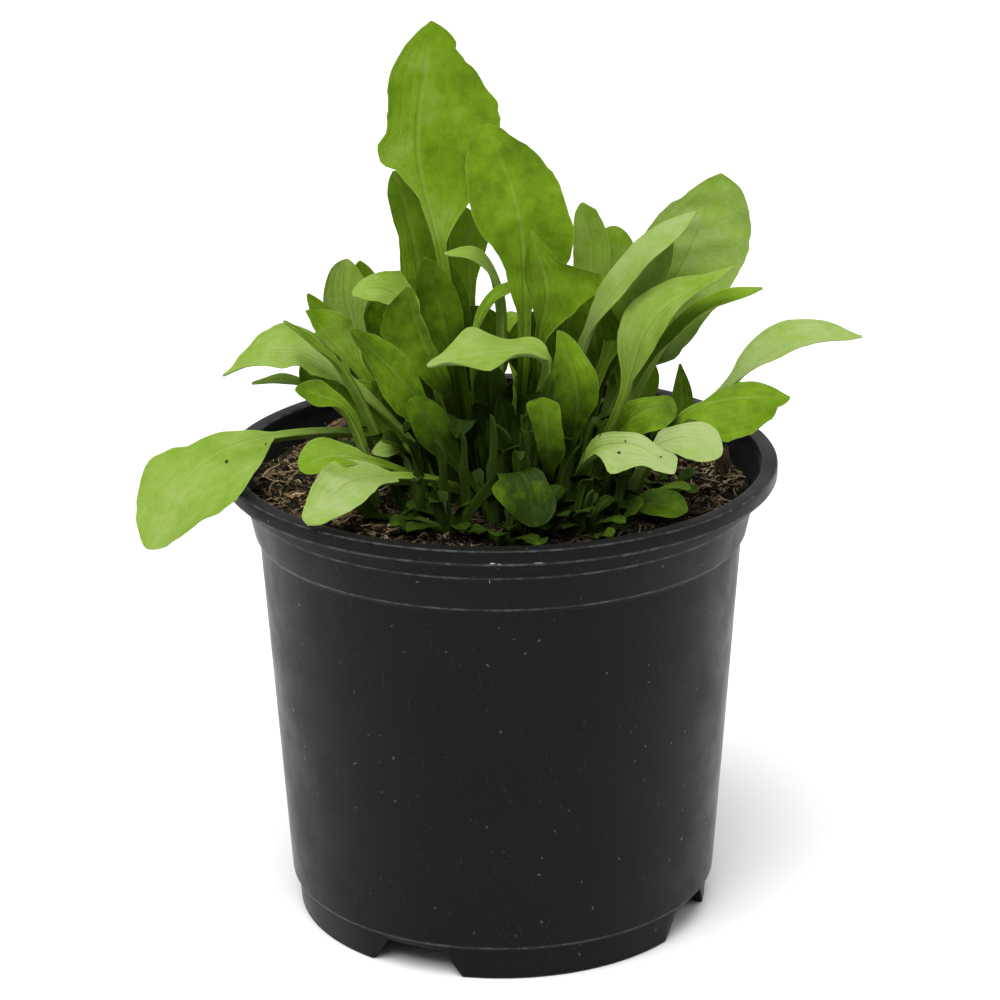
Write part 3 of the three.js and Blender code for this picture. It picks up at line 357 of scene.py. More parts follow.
# Where a leaf's margins run wider or narrower than the plain leaf shape: pairs of the place along
# the blade and the share of its half-width, for the side at the left and the right of the upper face
MARGINS = {
    "leaf_tallest": {
        "left": [(0, 0.35), (0.06, 0.22), (0.24, 0.22), (0.375, 0.67), (0.386, 0.74), (0.397, 1.02),
                 (0.455, 1.09), (0.481, 1.09), (0.494, 0.97), (0.52, 0.89), (0.647, 0.99),
                 (0.788, 1.25), (0.872, 1.34), (0.971, 1.3), (0.983, 1.04), (1, 1)],
        "right": [(0, 0.25), (0.031, 0.25), (0.18, 0.74), (0.341, 0.9), (0.546, 0.92), (0.708, 1.12),
                  (0.754, 0.99), (0.831, 0.92), (0.852, 0.78), (0.9, 0.74), (0.926, 0.92),
                  (0.971, 1.07), (1, 1.1)]},
    "leaf_tall_middle": {
        "left": [(0, 0.6), (0.14, 0.52), (0.232, 0.46), (0.302, 0.5), (0.368, 0.59), (0.417, 0.76),
                 (0.464, 0.83), (0.621, 0.86), (0.846, 1.11), (0.896, 1.21), (0.955, 1.41),
                 (0.97, 1.56), (0.982, 1.9), (1, 2)],
        "right": [(0, 0.4), (0.14, 0.57), (0.21, 0.93), (0.28, 1.11), (0.48, 0.95), (0.61, 1.0),
                  (0.7, 0.87), (0.8, 0.91), (0.91, 0.82), (0.96, 0.96), (1, 0.9)]},
    "leaf_broad_right": {
        "left": [(0, 2.1), (0.19, 2.06), (0.27, 1.66), (0.35, 1.41), (0.53, 1.34), (0.66, 1.18),
                 (0.79, 1.19), (0.82, 1.04), (0.96, 0.83), (1, 0.65)],
        "right": [(0, 1.8), (0.116, 1.8), (0.195, 1.33), (0.423, 1.02), (0.527, 1.0), (0.663, 1.14),
                  (0.763, 1.1), (0.873, 1.25), (0.937, 1.49), (0.962, 1.71), (0.978, 2.05), (1, 2.2)]},
    "leaf_arched_right": {
        "left": [(0, 0.3), (0.148, 0.46), (0.308, 0.89), (0.421, 1.03), (0.524, 0.99),
                 (0.696, 0.97), (0.777, 0.7), (0.84, 0.5), (0.95, 0.5), (1, 0.7)],
        "right": [(0, 0.4), (0.13, 0.44), (0.203, 0.74), (0.358, 1.01), (0.451, 1.25),
                  (0.495, 1.29), (0.582, 1.06), (0.696, 0.83), (0.816, 0.55), (0.887, 0.8),
                  (1, 0.7)]},
    "leaf_far_right": {
        "left": [(0, 0.4), (0.14, 0.4), (0.27, 0.63), (0.56, 0.98), (0.7, 0.99), (0.87, 1.01),
                 (0.96, 0.9), (1, 0.5)],
        "right": [(0, 0.4), (0.228, 0.55), (0.31, 0.7), (0.478, 1.4), (0.547, 1.5),
                  (0.643, 1.3), (0.689, 1), (0.792, 0.7), (0.86, 0.8), (0.92, 1.2), (1, 1.4)]},
    "leaf_far_left": {
        "left": [(0, 2), (0.074, 1.89), (0.163, 1.61), (0.248, 1.53), (0.328, 1.53), (0.48, 1.26),
                 (0.543, 1.26), (0.666, 1.43), (0.727, 1.4), (0.77, 1.3), (0.851, 1.32),
                 (0.943, 1.26), (1, 1.35)],
        "right": [(0, 0.69), (0.26, 0.78), (0.41, 0.69), (0.42, 0.72), (0.46, 0.98), (0.57, 1.06),
                  (0.67, 1.02), (0.78, 1.12), (0.86, 1.08), (0.98, 0.86), (1, 0.85)]},
    "leaf_front_left": {
        "left": [(0, 2.3), (0.1, 2.07), (0.162, 1.62), (0.246, 1.31), (0.389, 1.01), (0.506, 0.99),
                 (0.642, 1.13), (0.852, 1.22), (0.936, 1.14), (0.96, 1.3), (1, 1.7)],
        "right": [(0, 2.4), (0.204, 2.5), (0.288, 1.9), (0.329, 1.66), (0.447, 1.28), (0.526, 0.97),
                  (0.604, 0.78), (0.897, 0.68), (1, 0.85)]},
    "leaf_left_upright": {
        "left": [(0, 1), (0.48, 1.03), (0.76, 0.88), (1, 0.95)],
        "right": [(0, 0.45), (0.38, 0.47), (0.54, 0.8), (0.8, 0.85), (0.92, 0.69), (1, 0.5)]},
    "leaf_hanging_front": {
        "left": [(0, 0.7), (0.53, 0.67), (0.63, 0.82), (0.81, 0.89), (0.93, 1.0), (1, 1.2)],
        "right": [(0, 0.9), (0.36, 0.89), (0.43, 1.24), (0.49, 1.4), (0.6, 1.24), (0.71, 1.14),
                  (0.88, 0.8), (1, 0.69)]},
    "leaf_upright_front": {
        "left": [(0, 1.1), (0.18, 1.0), (0.48, 0.94), (0.69, 0.83), (0.85, 0.5), (1, 0.4)],
        "right": [(0, 0.4), (0.13, 0.5), (0.3, 0.83), (0.51, 0.86), (0.74, 0.71), (0.91, 0.8),
                  (1, 0.9)]},
    "leaf_back_middle": {
        "left": [(0, 0.9), (0.94, 0.78), (1, 0.6)],
        "right": [(0, 0.9), (0.89, 0.94), (0.94, 1.06), (1, 0.6)]},
    "leaf_pale_right": {
        "left": [(0, 1), (0.109, 1.15), (0.161, 0.88), (0.263, 0.7), (0.447, 0.7), (0.633, 0.96),
                 (0.765, 0.8), (0.909, 0.63), (1, 0.5)],
        "right": [(0, 0.4), (0.16, 0.44), (0.31, 0.68), (0.49, 0.96), (0.77, 0.97), (0.88, 0.8),
                  (1, 0.6)]},
    "leaf_left_arching": {
        "left": [(0, 1.5), (0.23, 1.4), (0.3, 1), (0.42, 1.1), (0.61, 0.96), (0.67, 0.83),
                 (0.8, 0.5), (1, 0.4)],
        "right": [(0, 1.3), (0.35, 1.48), (0.437, 1.5), (0.518, 1.43), (0.594, 1.08),
                  (0.863, 1), (0.95, 0.6), (1, 0.4)]},
    "leaf_curled": {
        "left": [(0, 0.25), (0.16, 0.25), (0.22, 0.45), (0.32, 0.74), (0.51, 0.89),
                 (0.63, 1.05), (0.86, 0.79), (1, 0.5)],
        "right": [(0, 0.5), (0.27, 0.5), (0.42, 0.75), (0.49, 1), (0.58, 1.2), (0.63, 1.2),
                  (0.66, 0.75), (0.7, 0.5), (0.8, 0.35), (1, 0.3)]},
    "leaf_left_bright": {
        "left": [(0, 0.5), (0.2, 0.4), (0.45, 0.38), (0.56, 0.52), (0.691, 0.79), (0.8, 0.75),
                 (0.901, 0.86), (0.943, 0.8), (1, 0.6)],
        "right": [(0, 0.5), (0.3, 0.3), (0.71, 0.2), (0.89, 0.4), (0.94, 0.62), (0.97, 0.87),
                  (1, 1.1)]},
    "leaf_left_dark": {
        "left": [(0, 1), (0.35, 1.38), (0.46, 1.09), (0.63, 0.89), (0.72, 0.7), (0.85, 0.66),
                 (0.94, 0.72), (1, 0.8)],
        "right": [(0, 0.4), (0.25, 0.4), (0.4, 0.67), (0.62, 0.63), (0.7, 0.74), (0.83, 0.78),
                  (0.91, 0.72), (0.95, 0.86), (1, 1.1)]},
    "leaf_left_light": {
        "left": [(0, 0.5), (0.5, 0.35), (0.81, 0.44), (0.9, 0.3), (1, 0.3)],
        "right": [(0, 1.5), (0.35, 1.6), (0.51, 1.45), (0.61, 1.28), (0.81, 1.14), (0.94, 0.89),
                  (1, 0.4)]},
    "leaf_left_pointed": {
        "left": [(0, 1), (0.7, 1.2), (0.81, 1.15), (0.9, 0.97), (1, 0.95)],
        "right": [(0, 0.7), (0.64, 0.52), (0.81, 0.42), (0.95, 0.45), (1, 0.3)]},
    "leaf_left_round": {
        "left": [(0, 0.5), (0.4, 0.7), (0.55, 0.85), (0.73, 1.0), (0.81, 1.09), (0.88, 1.08),
                 (0.91, 0.9), (0.95, 0.6), (1, 0.5)],
        "right": [(0, 0.8), (0.39, 1.37), (0.43, 1.45), (0.51, 1.16), (0.68, 0.89), (0.79, 0.86),
                  (0.95, 0.71), (1, 0.5)]},
    "leaf_pale_front": {
        "left": [(0, 2.2), (0.04, 1.8), (0.08, 1.2), (0.12, 0.9), (0.24, 0.57), (0.72, 0.36),
                 (0.8, 0.45), (0.93, 0.75), (1, 0.5)],
        "right": [(0, 1), (0.14, 1.12), (0.28, 1.34), (0.44, 1.2), (0.55, 0.95),
                  (0.67, 0.5), (0.95, 0.3), (1, 0.3)]},
    "leaf_back_left": {
        "left": [(0, 0.9), (1, 1)],
        "right": [(0, 0.3), (0.3, 0.4), (0.5, 0.75), (0.65, 1.15), (0.85, 1.2), (1, 1)]},
    "leaf_square_right": {
        "left": [(0, 0.4), (0.18, 0.4), (0.24, 0.63), (0.35, 0.87), (0.45, 0.72), (0.65, 0.56),
                 (0.8, 0.58), (0.94, 0.76), (1, 0.5)],
        "right": [(0, 0.8), (0.35, 0.98), (0.65, 1.23), (0.83, 1.07), (1, 0.8)]},
    "leaf_folded_right": {
        "left": [(0, 0.2), (0.17, 0.2), (0.26, 0.48), (0.35, 0.7), (0.6, 1.18), (0.68, 1.1),
                 (0.8, 0.83), (0.9, 0.67), (0.94, 0.54), (1, 0.3)],
        "right": [(0, 1.5), (0.1, 1.8), (0.2, 1.6), (0.26, 1.41), (0.35, 1.19), (0.467, 1.13),
                  (0.8, 0.68), (0.844, 0.57), (0.865, 0.34), (0.969, 0.35), (1, 0.3)]},
    "leaf_short_front": {
        "left": [(0, 1), (0.18, 0.82), (0.4, 0.71), (0.72, 0.76), (0.83, 0.89), (0.92, 1.09), (1, 1.4)],
        "right": [(0, 1.5), (0.18, 1.5), (0.24, 1.36), (0.4, 0.98), (0.66, 0.78), (0.9, 0.93),
                  (0.96, 0.62), (1, 0.34)]},
    "leaf_behind_tallest": {
        "left": [(0, 2.2), (0.262, 2.1), (0.333, 1.62), (0.402, 1.31), (0.489, 1.04),
                 (0.59, 0.87), (0.797, 1.1), (1, 1.6)],
        "right": [(0, 2.4), (0.2, 1.6), (0.51, 1.1), (0.74, 1.25), (0.9, 1.7), (1, 1.9)]},
}


def smooth_step(x, low, high):
    w = np.clip((x - low) / (high - low), 0, 1)
    return w * w * (3 - 2 * w)


def around(count):
    """The places round a ring, each with the next one."""
    return [(k, (k + 1) % count) for k in range(count)]


def on_ring(radius, k, count):
    turn = FULL_TURN * k / count
    return radius * math.cos(turn), radius * math.sin(turn)


def from_front(radius, degrees):
    """The place at a radius and an angle from the pot's front."""
    turn = math.radians(degrees)
    return radius * math.sin(turn), -radius * math.cos(turn)


# Leaf shapes
def curve_point(points, t):
    """A point at t, from 0 to 1, on the centripetal curve through the points."""
    place = t * (len(points) - 1)
    i = min(int(place), len(points) - 2)
    w = place - i
    b, c = points[i], points[i + 1]
    a = points[i - 1] if i > 0 else 2 * b - c
    d = points[i + 2] if i + 2 < len(points) else 2 * c - b
    ab, bc, cd = (max(np.linalg.norm(q - p), 1e-8) ** 0.5 for p, q in ((a, b), (b, c), (c, d)))
    start = bc * ((b - a) / ab - (c - a) / (ab + bc) + (c - b) / bc)
    end = bc * ((c - b) / bc - (d - b) / (bc + cd) + (d - c) / cd)
    square = 3 * (c - b) - 2 * start - end
    cube = 2 * (b - c) + start + end
    return b + start * w + square * w * w + cube * w ** 3


def turned_about(vector, axis, angle):
    """The vector turned about a unit axis."""
    across = np.cross(axis, vector)
    return (vector * math.cos(angle) + across * math.sin(angle)
            + axis * (axis @ vector) * (1 - math.cos(angle)))


def leaf_stations(row, petiole_step, blade_step):
    """The places along a leaf: centre, directions across and up, s from neck to tip, and sizes."""
    x, y = row["foot"]
    points = [(x, y, row["root_z"]), (x, y, row["foot_z"])]
    if row["via"]:
        points.append(row["via"])
    points = [np.array(p, float) for p in points + [row["neck"], row["belly"], row["tip"]]]
    spans = len(points) - 1
    foot_at, neck_at = 1 / spans, (spans - 2) / spans
    drop = sum(np.linalg.norm(q - p) for p, q in zip(points[1:-3], points[2:-2]))
    length = np.linalg.norm(points[-2] - points[-3]) + np.linalg.norm(points[-1] - points[-2])
    low_count = max(3, round(drop / petiole_step))
    count = max(8, round(length / blade_step))
    low = foot_at + (neck_at - foot_at) * np.arange(low_count) / low_count
    blade = neck_at + (1 - neck_at) * (1 - (1 - np.arange(count + 1) / count) ** TIP_CROWDING)
    places = np.concatenate([[0, foot_at / 2], low, blade])
    centres = np.array([curve_point(points, t) for t in places])
    first = 2 + low_count
    steps = np.linalg.norm(np.diff(centres, axis=0), axis=1)
    along_blade = np.concatenate([[0], np.cumsum(steps[first:])])
    s = np.zeros(len(places))
    s[first:] = along_blade / along_blade[-1]
    face = math.radians(row["face"])
    level = np.array([-math.sin(face), math.cos(face), 0])
    across, up = np.zeros_like(centres), np.zeros_like(centres)
    for i, t in enumerate(places):
        ahead, behind = (curve_point(points, min(max(t + e, 0), 1)) for e in (1e-4, -1e-4))
        along = (ahead - behind) / np.linalg.norm(ahead - behind)
        flat = level - along * (level @ along)
        flat /= np.linalg.norm(flat)
        turn = row["roll"] * smooth_step(t, foot_at, neck_at) + row["twist"] * s[i]
        across[i] = turned_about(flat, along, -math.radians(turn))
        up[i] = np.cross(across[i], along)
    rise = row["blunt"] * row["peak"] / (1 - row["peak"])
    widest = row["peak"] ** rise * (1 - row["peak"]) ** row["blunt"]
    blade_half = row["width"] / 2 * s ** rise * (1 - s) ** row["blunt"] / widest
    blade_half[:first] = 0
    wing = row["wing"] * row["width"] * smooth_step(places, foot_at, neck_at) ** 2 * (1 - s) ** 3
    travelled = np.concatenate([[0], np.cumsum(steps)])
    return {"centre": centres, "across": across, "up": up, "s": s, "half": np.hypot(blade_half, wing),
            "stalk": row["stalk"] * np.sqrt(1 - STALK_TAPER * s), "open": np.minimum(1, 4 * s),
            "along": travelled - travelled[first], "length": along_blade[-1]}


def margin_shape(row, s, length, draw):
    """What a margin's distance is multiplied by at s: the outline's own corners and small teeth."""
    shape = {side: np.ones_like(s) for side in (-1, 1)}
    own = MARGINS.get(row["name"], {})
    for side, name in ((-1, "left"), (1, "right")):
        if name in own:
            at, size = zip(*own[name])
            shape[side] = np.interp(s, at, size)
        teeth = int(length / TEETH["apart"]) if row["width"] >= TOOTHED else 0
        for k in range(teeth):
            place = 0.12 + 0.8 * (k + draw.uniform(0.2, 0.8)) / teeth
            reach = draw.uniform(*TEETH["reach"])
            size = draw.uniform(*TEETH["size"])
            shape[side] = shape[side] + size * np.clip(1 - np.abs(s - place) / reach, 0, 1)
    return shape


def ripples(x, y, draw):
    """A gentle uneven surface, from -1 to 1, of crossing waves."""
    total = np.zeros(np.broadcast(x, y).shape)
    for _ in range(RIPPLES["count"]):
        angle = draw.uniform(0, math.pi)
        size = draw.uniform(*RIPPLES["sizes"])
        start = draw.uniform(0, FULL_TURN)
        total += np.sin(FULL_TURN * (x * math.cos(angle) + y * math.sin(angle)) / size + start)
    return total / RIPPLES["count"]


def leaf_faces(rows, columns):
    """The faces of a leaf's upper side, underside, margins and ends, and which are underneath."""
    i, j = np.meshgrid(np.arange(rows - 1), np.arange(columns - 1), indexing="ij")
    a = (i * columns + j).ravel()
    b, c, d = a + 1, a + columns + 1, a + columns
    below = rows * columns
    k = np.arange(rows - 1) * columns
    m = k + columns - 1
    h = np.arange(columns - 1)
    e = h + (rows - 1) * columns
    sides = [
        (a, b, c, d),
        (a + below, d + below, c + below, b + below),
        (k + below, k, k + columns, k + columns + below),
        (m, m + below, m + columns + below, m + columns),
        (h + below, h + 1 + below, h + 1, h),
        (e, e + 1, e + 1 + below, e + below),
    ]
    faces = np.concatenate([np.stack(side, 1) for side in sides])
    underside = np.zeros(len(faces), int)
    underside[len(a):2 * len(a)] = 1
    return faces, underside


def leaf_mesh(row, columns, petiole_step, blade_step):
    """One leaf as a closed thin body: points, faces, whether a face is on the underside, and for each
    point u across the blade, s along it, the half-width there and its tone, with painted shade at the
    heart."""
    draw = random.Random(row["name"] + str(row["tip"]))
    at = leaf_stations(row, petiole_step, blade_step)
    margin = margin_shape(row, at["s"], at["length"], draw)
    s, stalk, opened = (at[key][:, None] for key in ("s", "stalk", "open"))
    centre, across, up = (at[key][:, None, :] for key in ("centre", "across", "up"))
    ease = np.linspace(-1, 1, columns)
    u = (0.75 * ease + 0.25 * np.sin(ease * math.pi / 2))[None, :]
    side = np.sign(u)
    edge = np.where(side < 0, margin[-1][:, None], margin[1][:, None])
    blade = at["half"][:, None] * (1 + row["skew"] * side) * edge
    if row["width"] >= BROAD:
        place = SCALLOPS["count"] * s + row["phase"] + SCALLOPS["offset"] * side
        blade = blade * (1 + SCALLOPS["depth"] * (s * (1 - s)) * np.sin(FULL_TURN * place))
    half = np.hypot(stalk, blade)
    bend = CLOSED + (row["cup"] - CLOSED) * opened
    bend = np.where(np.abs(bend) < 1e-6, 1e-6, bend)
    out = np.sin(u * bend) / bend
    lift = (1 - np.cos(u * bend)) / bend
    place = WAVES["count"] * s + row["phase"] + WAVES["offset"] * side
    wave = row["wave"] * blade * u * u * np.sin(FULL_TURN * place)
    x = u * half
    bulge = BULGE * (1 - np.cos(FULL_TURN * np.abs(u) * VEINS)) * np.minimum(1, blade / 5)
    uneven = RIPPLES["height"] * ripples(x, at["along"][:, None], draw) * opened
    uneven = uneven * np.minimum(1, blade / 6)
    groove = -GROOVE["depth"] * np.exp(-(x / GROOVE["spread"]) ** 2) * (1 - 0.8 * s)
    height = lift * half + wave + bulge + uneven + groove
    rib = (RIB["petiole"] + (RIB["blade"] - RIB["petiole"]) * opened) * (1 - 0.85 * s)
    thin = BLADE * (THIN_MARGIN + (1 - THIN_MARGIN) * np.sqrt(np.maximum(0, 1 - u ** 6)))
    depth = thin + rib * np.exp(-(x / (RIB["spread"] * stalk)) ** 2) - groove * 0.6
    upper = centre + across * (out * half)[..., None] + up * height[..., None]
    lower = upper - up * depth[..., None]
    points = np.concatenate([upper.reshape(-1, 3), lower.reshape(-1, 3)])
    # Painted shade: the tone is darkened towards the rosette's heart
    apart = [(points[:, k] - PAINTED_HEART_SHADE["at"][k]) / PAINTED_HEART_SHADE["reach"][k] for k in range(3)]
    shaded = 1 - smooth_step(np.sqrt(sum(a * a for a in apart)), 0.35, 1)
    facts = {"across": u, "along": s, "half": half}
    facts = {key: np.tile(np.broadcast_to(fact, half.shape).ravel(), 2) for key, fact in facts.items()}
    facts["tone"] = row["tone"] - PAINTED_HEART_SHADE["shade"] * shaded
    return points, *leaf_faces(len(s), columns), facts


# Meshes
def mesh_object(name, points, faces, materials, face_materials=None, facts=None):
    """A mesh piece from points in millimetres."""
    mesh = bpy.data.meshes.new(name)
    mesh.from_pydata((np.asarray(points) * MM).tolist(), [], [list(map(int, f)) for f in faces])
    for material in materials:
        mesh.materials.append(material)
    if face_materials is not None:
        mesh.polygons.foreach_set("material_index", np.asarray(face_materials, np.int32))
    for key, values in (facts or {}).items():
        layer = mesh.attributes.new(key, "FLOAT", "POINT")
        layer.data.foreach_set("value", np.asarray(values, np.float32))
    mesh.polygons.foreach_set("use_smooth", np.ones(len(mesh.polygons), bool))
    mesh.update()
    made = bpy.data.objects.new(name, mesh)
    bpy.context.scene.collection.objects.link(made)
    return made


def apply_modifiers(piece):
    """The piece keeps the mesh that its modifiers make of it."""
    graph = bpy.context.evaluated_depsgraph_get()
    plain = bpy.data.meshes.new_from_object(piece.evaluated_get(graph))
    piece.modifiers.clear()
    piece.data = plain


def finished(piece, slot, *nodes):
    """The piece moves with the plant and stands for the nodes, which are hidden. The slot is not used.
    """
    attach(piece, BODY)
    if nodes:
        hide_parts(*nodes)


# Node helpers, for materials and for scattering
def add_node(tree, kind, inputs=None, **settings):
    made = tree.nodes.new(kind)
    for key, value in settings.items():
        setattr(made, key, value)
    for key, value in (inputs or {}).items():
        if isinstance(value, bpy.types.NodeSocket):
            tree.links.new(value, made.inputs[key])
        else:
            made.inputs[key].default_value = value
    return made


def sums(tree, operation, a, b=0.0, clamp=False):
    made = add_node(tree, "ShaderNodeMath", {0: a, 1: b}, operation=operation, use_clamp=clamp)
    return made.outputs[0]


def plus(tree, a, b, clamp=False):
    return sums(tree, "ADD", a, b, clamp)


def minus(tree, a, b):
    return sums(tree, "SUBTRACT", a, b)


def times(tree, a, b):
    return sums(tree, "MULTIPLY", a, b)


def largest(tree, values):
    found = values[0]
    for value in values[1:]:
        found = sums(tree, "MAXIMUM", found, value)
    return found


def hypotenuse(tree, a, b):
    return sums(tree, "SQRT", plus(tree, times(tree, a, a), times(tree, b, b)))


def vectors(tree, operation, a, b=(0, 0, 0), c=(0, 0, 0)):
    made = add_node(tree, "ShaderNodeVectorMath", {0: a, 1: b, 2: c}, operation=operation)
    return made.outputs["Value" if operation == "LENGTH" else "Vector"]


def ranged(tree, value, low, high, to_low=0.0, to_high=1.0):
    """The value brought smoothly from one range to another."""
    made = add_node(tree, "ShaderNodeMapRange", {
        "Value": value, "From Min": low, "From Max": high, "To Min": to_low, "To Max": to_high},
        interpolation_type="SMOOTHSTEP")
    return made.outputs["Result"]


def colour(shade):
    return (*shade, 1)


def mixed(tree, factor, a, b, blend="MIX"):
    made = add_node(tree, "ShaderNodeMix", {0: factor, 6: a, 7: b}, data_type="RGBA", blend_type=blend)
    return made.outputs[2]


def ramped(tree, value, stops):
    """The colour at a value, between stops of a value and a colour each."""
    made = add_node(tree, "ShaderNodeValToRGB", {"Fac": value})
    elements = made.color_ramp.elements
    for element, (at, shade) in zip(elements, (stops[0], stops[-1])):
        element.position, element.color = at, colour(shade)
    for at, shade in stops[1:-1]:
        elements.new(at).color = colour(shade)
    return made.outputs["Color"]


def object_place(tree):
    return add_node(tree, "ShaderNodeTexCoord").outputs["Object"]


def own_fact(tree, name):
    return add_node(tree, "ShaderNodeAttribute", attribute_name=name).outputs["Fac"]


def grain(tree, place, scale, detail=2.0, rough=0.5, output="Fac"):
    made = add_node(tree, "ShaderNodeTexNoise", {
        "Vector": place, "Scale": scale, "Detail": detail, "Roughness": rough})
    return made.outputs[output]


def cells(tree, place, scale, **settings):
    """Small cells spread at random."""
    inputs = {"Vector": place, "Scale": scale, "Randomness": 1}
    return add_node(tree, "ShaderNodeTexVoronoi", inputs, **settings).outputs


def dots(tree, place, scale, channel, limit, inner, outer):
    """Small dots in those cells whose own colour is above the limit in a channel."""
    found = cells(tree, place, scale)
    channels = add_node(tree, "ShaderNodeSeparateColor", {"Color": found["Color"]}).outputs
    chosen = sums(tree, "GREATER_THAN", channels[channel], limit)
    return times(tree, ranged(tree, found["Distance"], inner, outer, 1, 0), chosen)


def ragged_spots(tree, place, spots):
    """1 in small ragged spots, each given by its place and size in millimetres, and 0 elsewhere."""
    found = []
    for at, size in spots:
        away = vectors(tree, "SUBTRACT", place, tuple(v * MM for v in at))
        away = vectors(tree, "MULTIPLY", away, tuple(1 / (v * MM) for v in size))
        ragged = plus(tree, vectors(tree, "LENGTH", away), grain(tree, place, 2500, 2, 0.6))
        found.append(ranged(tree, ragged, 1.1, 1.35, 1, 0))
    return largest(tree, found)


def stretched(tree, place, scale):
    return add_node(tree, "ShaderNodeMapping", {"Vector": place, "Scale": scale}).outputs[0]


def bumped(tree, height, distance):
    inputs = {"Height": height, "Distance": distance, "Strength": 1.0}
    return add_node(tree, "ShaderNodeBump", inputs).outputs["Normal"]


def blank_material(name):
    material = bpy.data.materials.new(name)
    material.use_nodes = True
    material.node_tree.nodes.clear()
    return material, material.node_tree


def shown(tree, shader):
    add_node(tree, "ShaderNodeOutputMaterial", {"Surface": shader.outputs[0]})


# Materials
def leaf_material(name, greens, vein, through, rough):
    """Leaf green with mottled patches, parallel veins and a fine net between them, a pale margin,
    and light passing through."""
    material, tree = blank_material(name)
    vein, through = colour(vein), colour(through)
    place = object_place(tree)
    across = sums(tree, "ABSOLUTE", own_fact(tree, "across"))
    half, along, tone = (own_fact(tree, fact) for fact in ("half", "along", "tone"))

    patches = grain(tree, place, 70, 5, 0.6)
    blotches = grain(tree, place, 420, 2, 0.6)
    mottle = plus(tree, times(tree, patches, 0.8), times(tree, blotches, 0.3))
    depth = plus(tree, times(tree, minus(tree, mottle, 0.55), 0.95), tone, clamp=True)
    green = ramped(tree, depth, greens)

    lines = sums(tree, "PINGPONG", times(tree, across, VEINS), 0.5)
    from_vein = times(tree, sums(tree, "DIVIDE", lines, VEINS), half)
    side_vein = ranged(tree, from_vein, 0.06, 0.3, 1, 0)
    side_vein = times(tree, side_vein, ranged(tree, along, 0.55, 1.0, 1, 0.15))
    rib = ranged(tree, times(tree, across, half), 0.25, 0.85, 1, 0)
    rib = times(tree, rib, ranged(tree, along, 0.5, 1.0, 1, 0.25))
    net = cells(tree, place, 520, feature="DISTANCE_TO_EDGE")["Distance"]
    net = ranged(tree, net, 0.0, 0.16, 1, 0)
    veins = largest(tree, [rib, times(tree, side_vein, 0.35), times(tree, net, 0.12)])
    clear = ranged(tree, tone, 0.0, 0.7, 0.03, 0.25)
    green = mixed(tree, times(tree, veins, clear), green, vein)
    from_margin = times(tree, minus(tree, 1.0, across), half)
    rim = ranged(tree, from_margin, 0.05, 0.35, 1, 0)
    rim = times(tree, rim, ranged(tree, tone, 0.1, 0.6, 0.02, 0.5))
    green = mixed(tree, rim, green, vein)
    green = mixed(tree, ragged_spots(tree, place, BITES), green, colour(BITTEN))

    fine = grain(tree, place, 1500, 2, 0.6)
    relief = minus(tree, times(tree, fine, 0.25), times(tree, veins, 0.6))
    relief = plus(tree, relief, times(tree, patches, 0.8))
    normal = bumped(tree, relief, 0.00035)
    surface = add_node(tree, "ShaderNodeBsdfPrincipled", {
        "Base Color": green, "Normal": normal,
        "Roughness": ranged(tree, patches, 0.3, 0.7, rough - 0.06, rough + 0.08),
        "Specular IOR Level": 0.08})
    lit = add_node(tree, "ShaderNodeBsdfTranslucent", {
        "Color": mixed(tree, 0.75, green, through), "Normal": normal})
    sheer = ranged(tree, tone, 0.0, 0.6, SHEER["deep"], SHEER["pale"])
    shown(tree, add_node(tree, "ShaderNodeMixShader", {
        0: sheer, 1: surface.outputs[0], 2: lit.outputs[0]}))
    return material


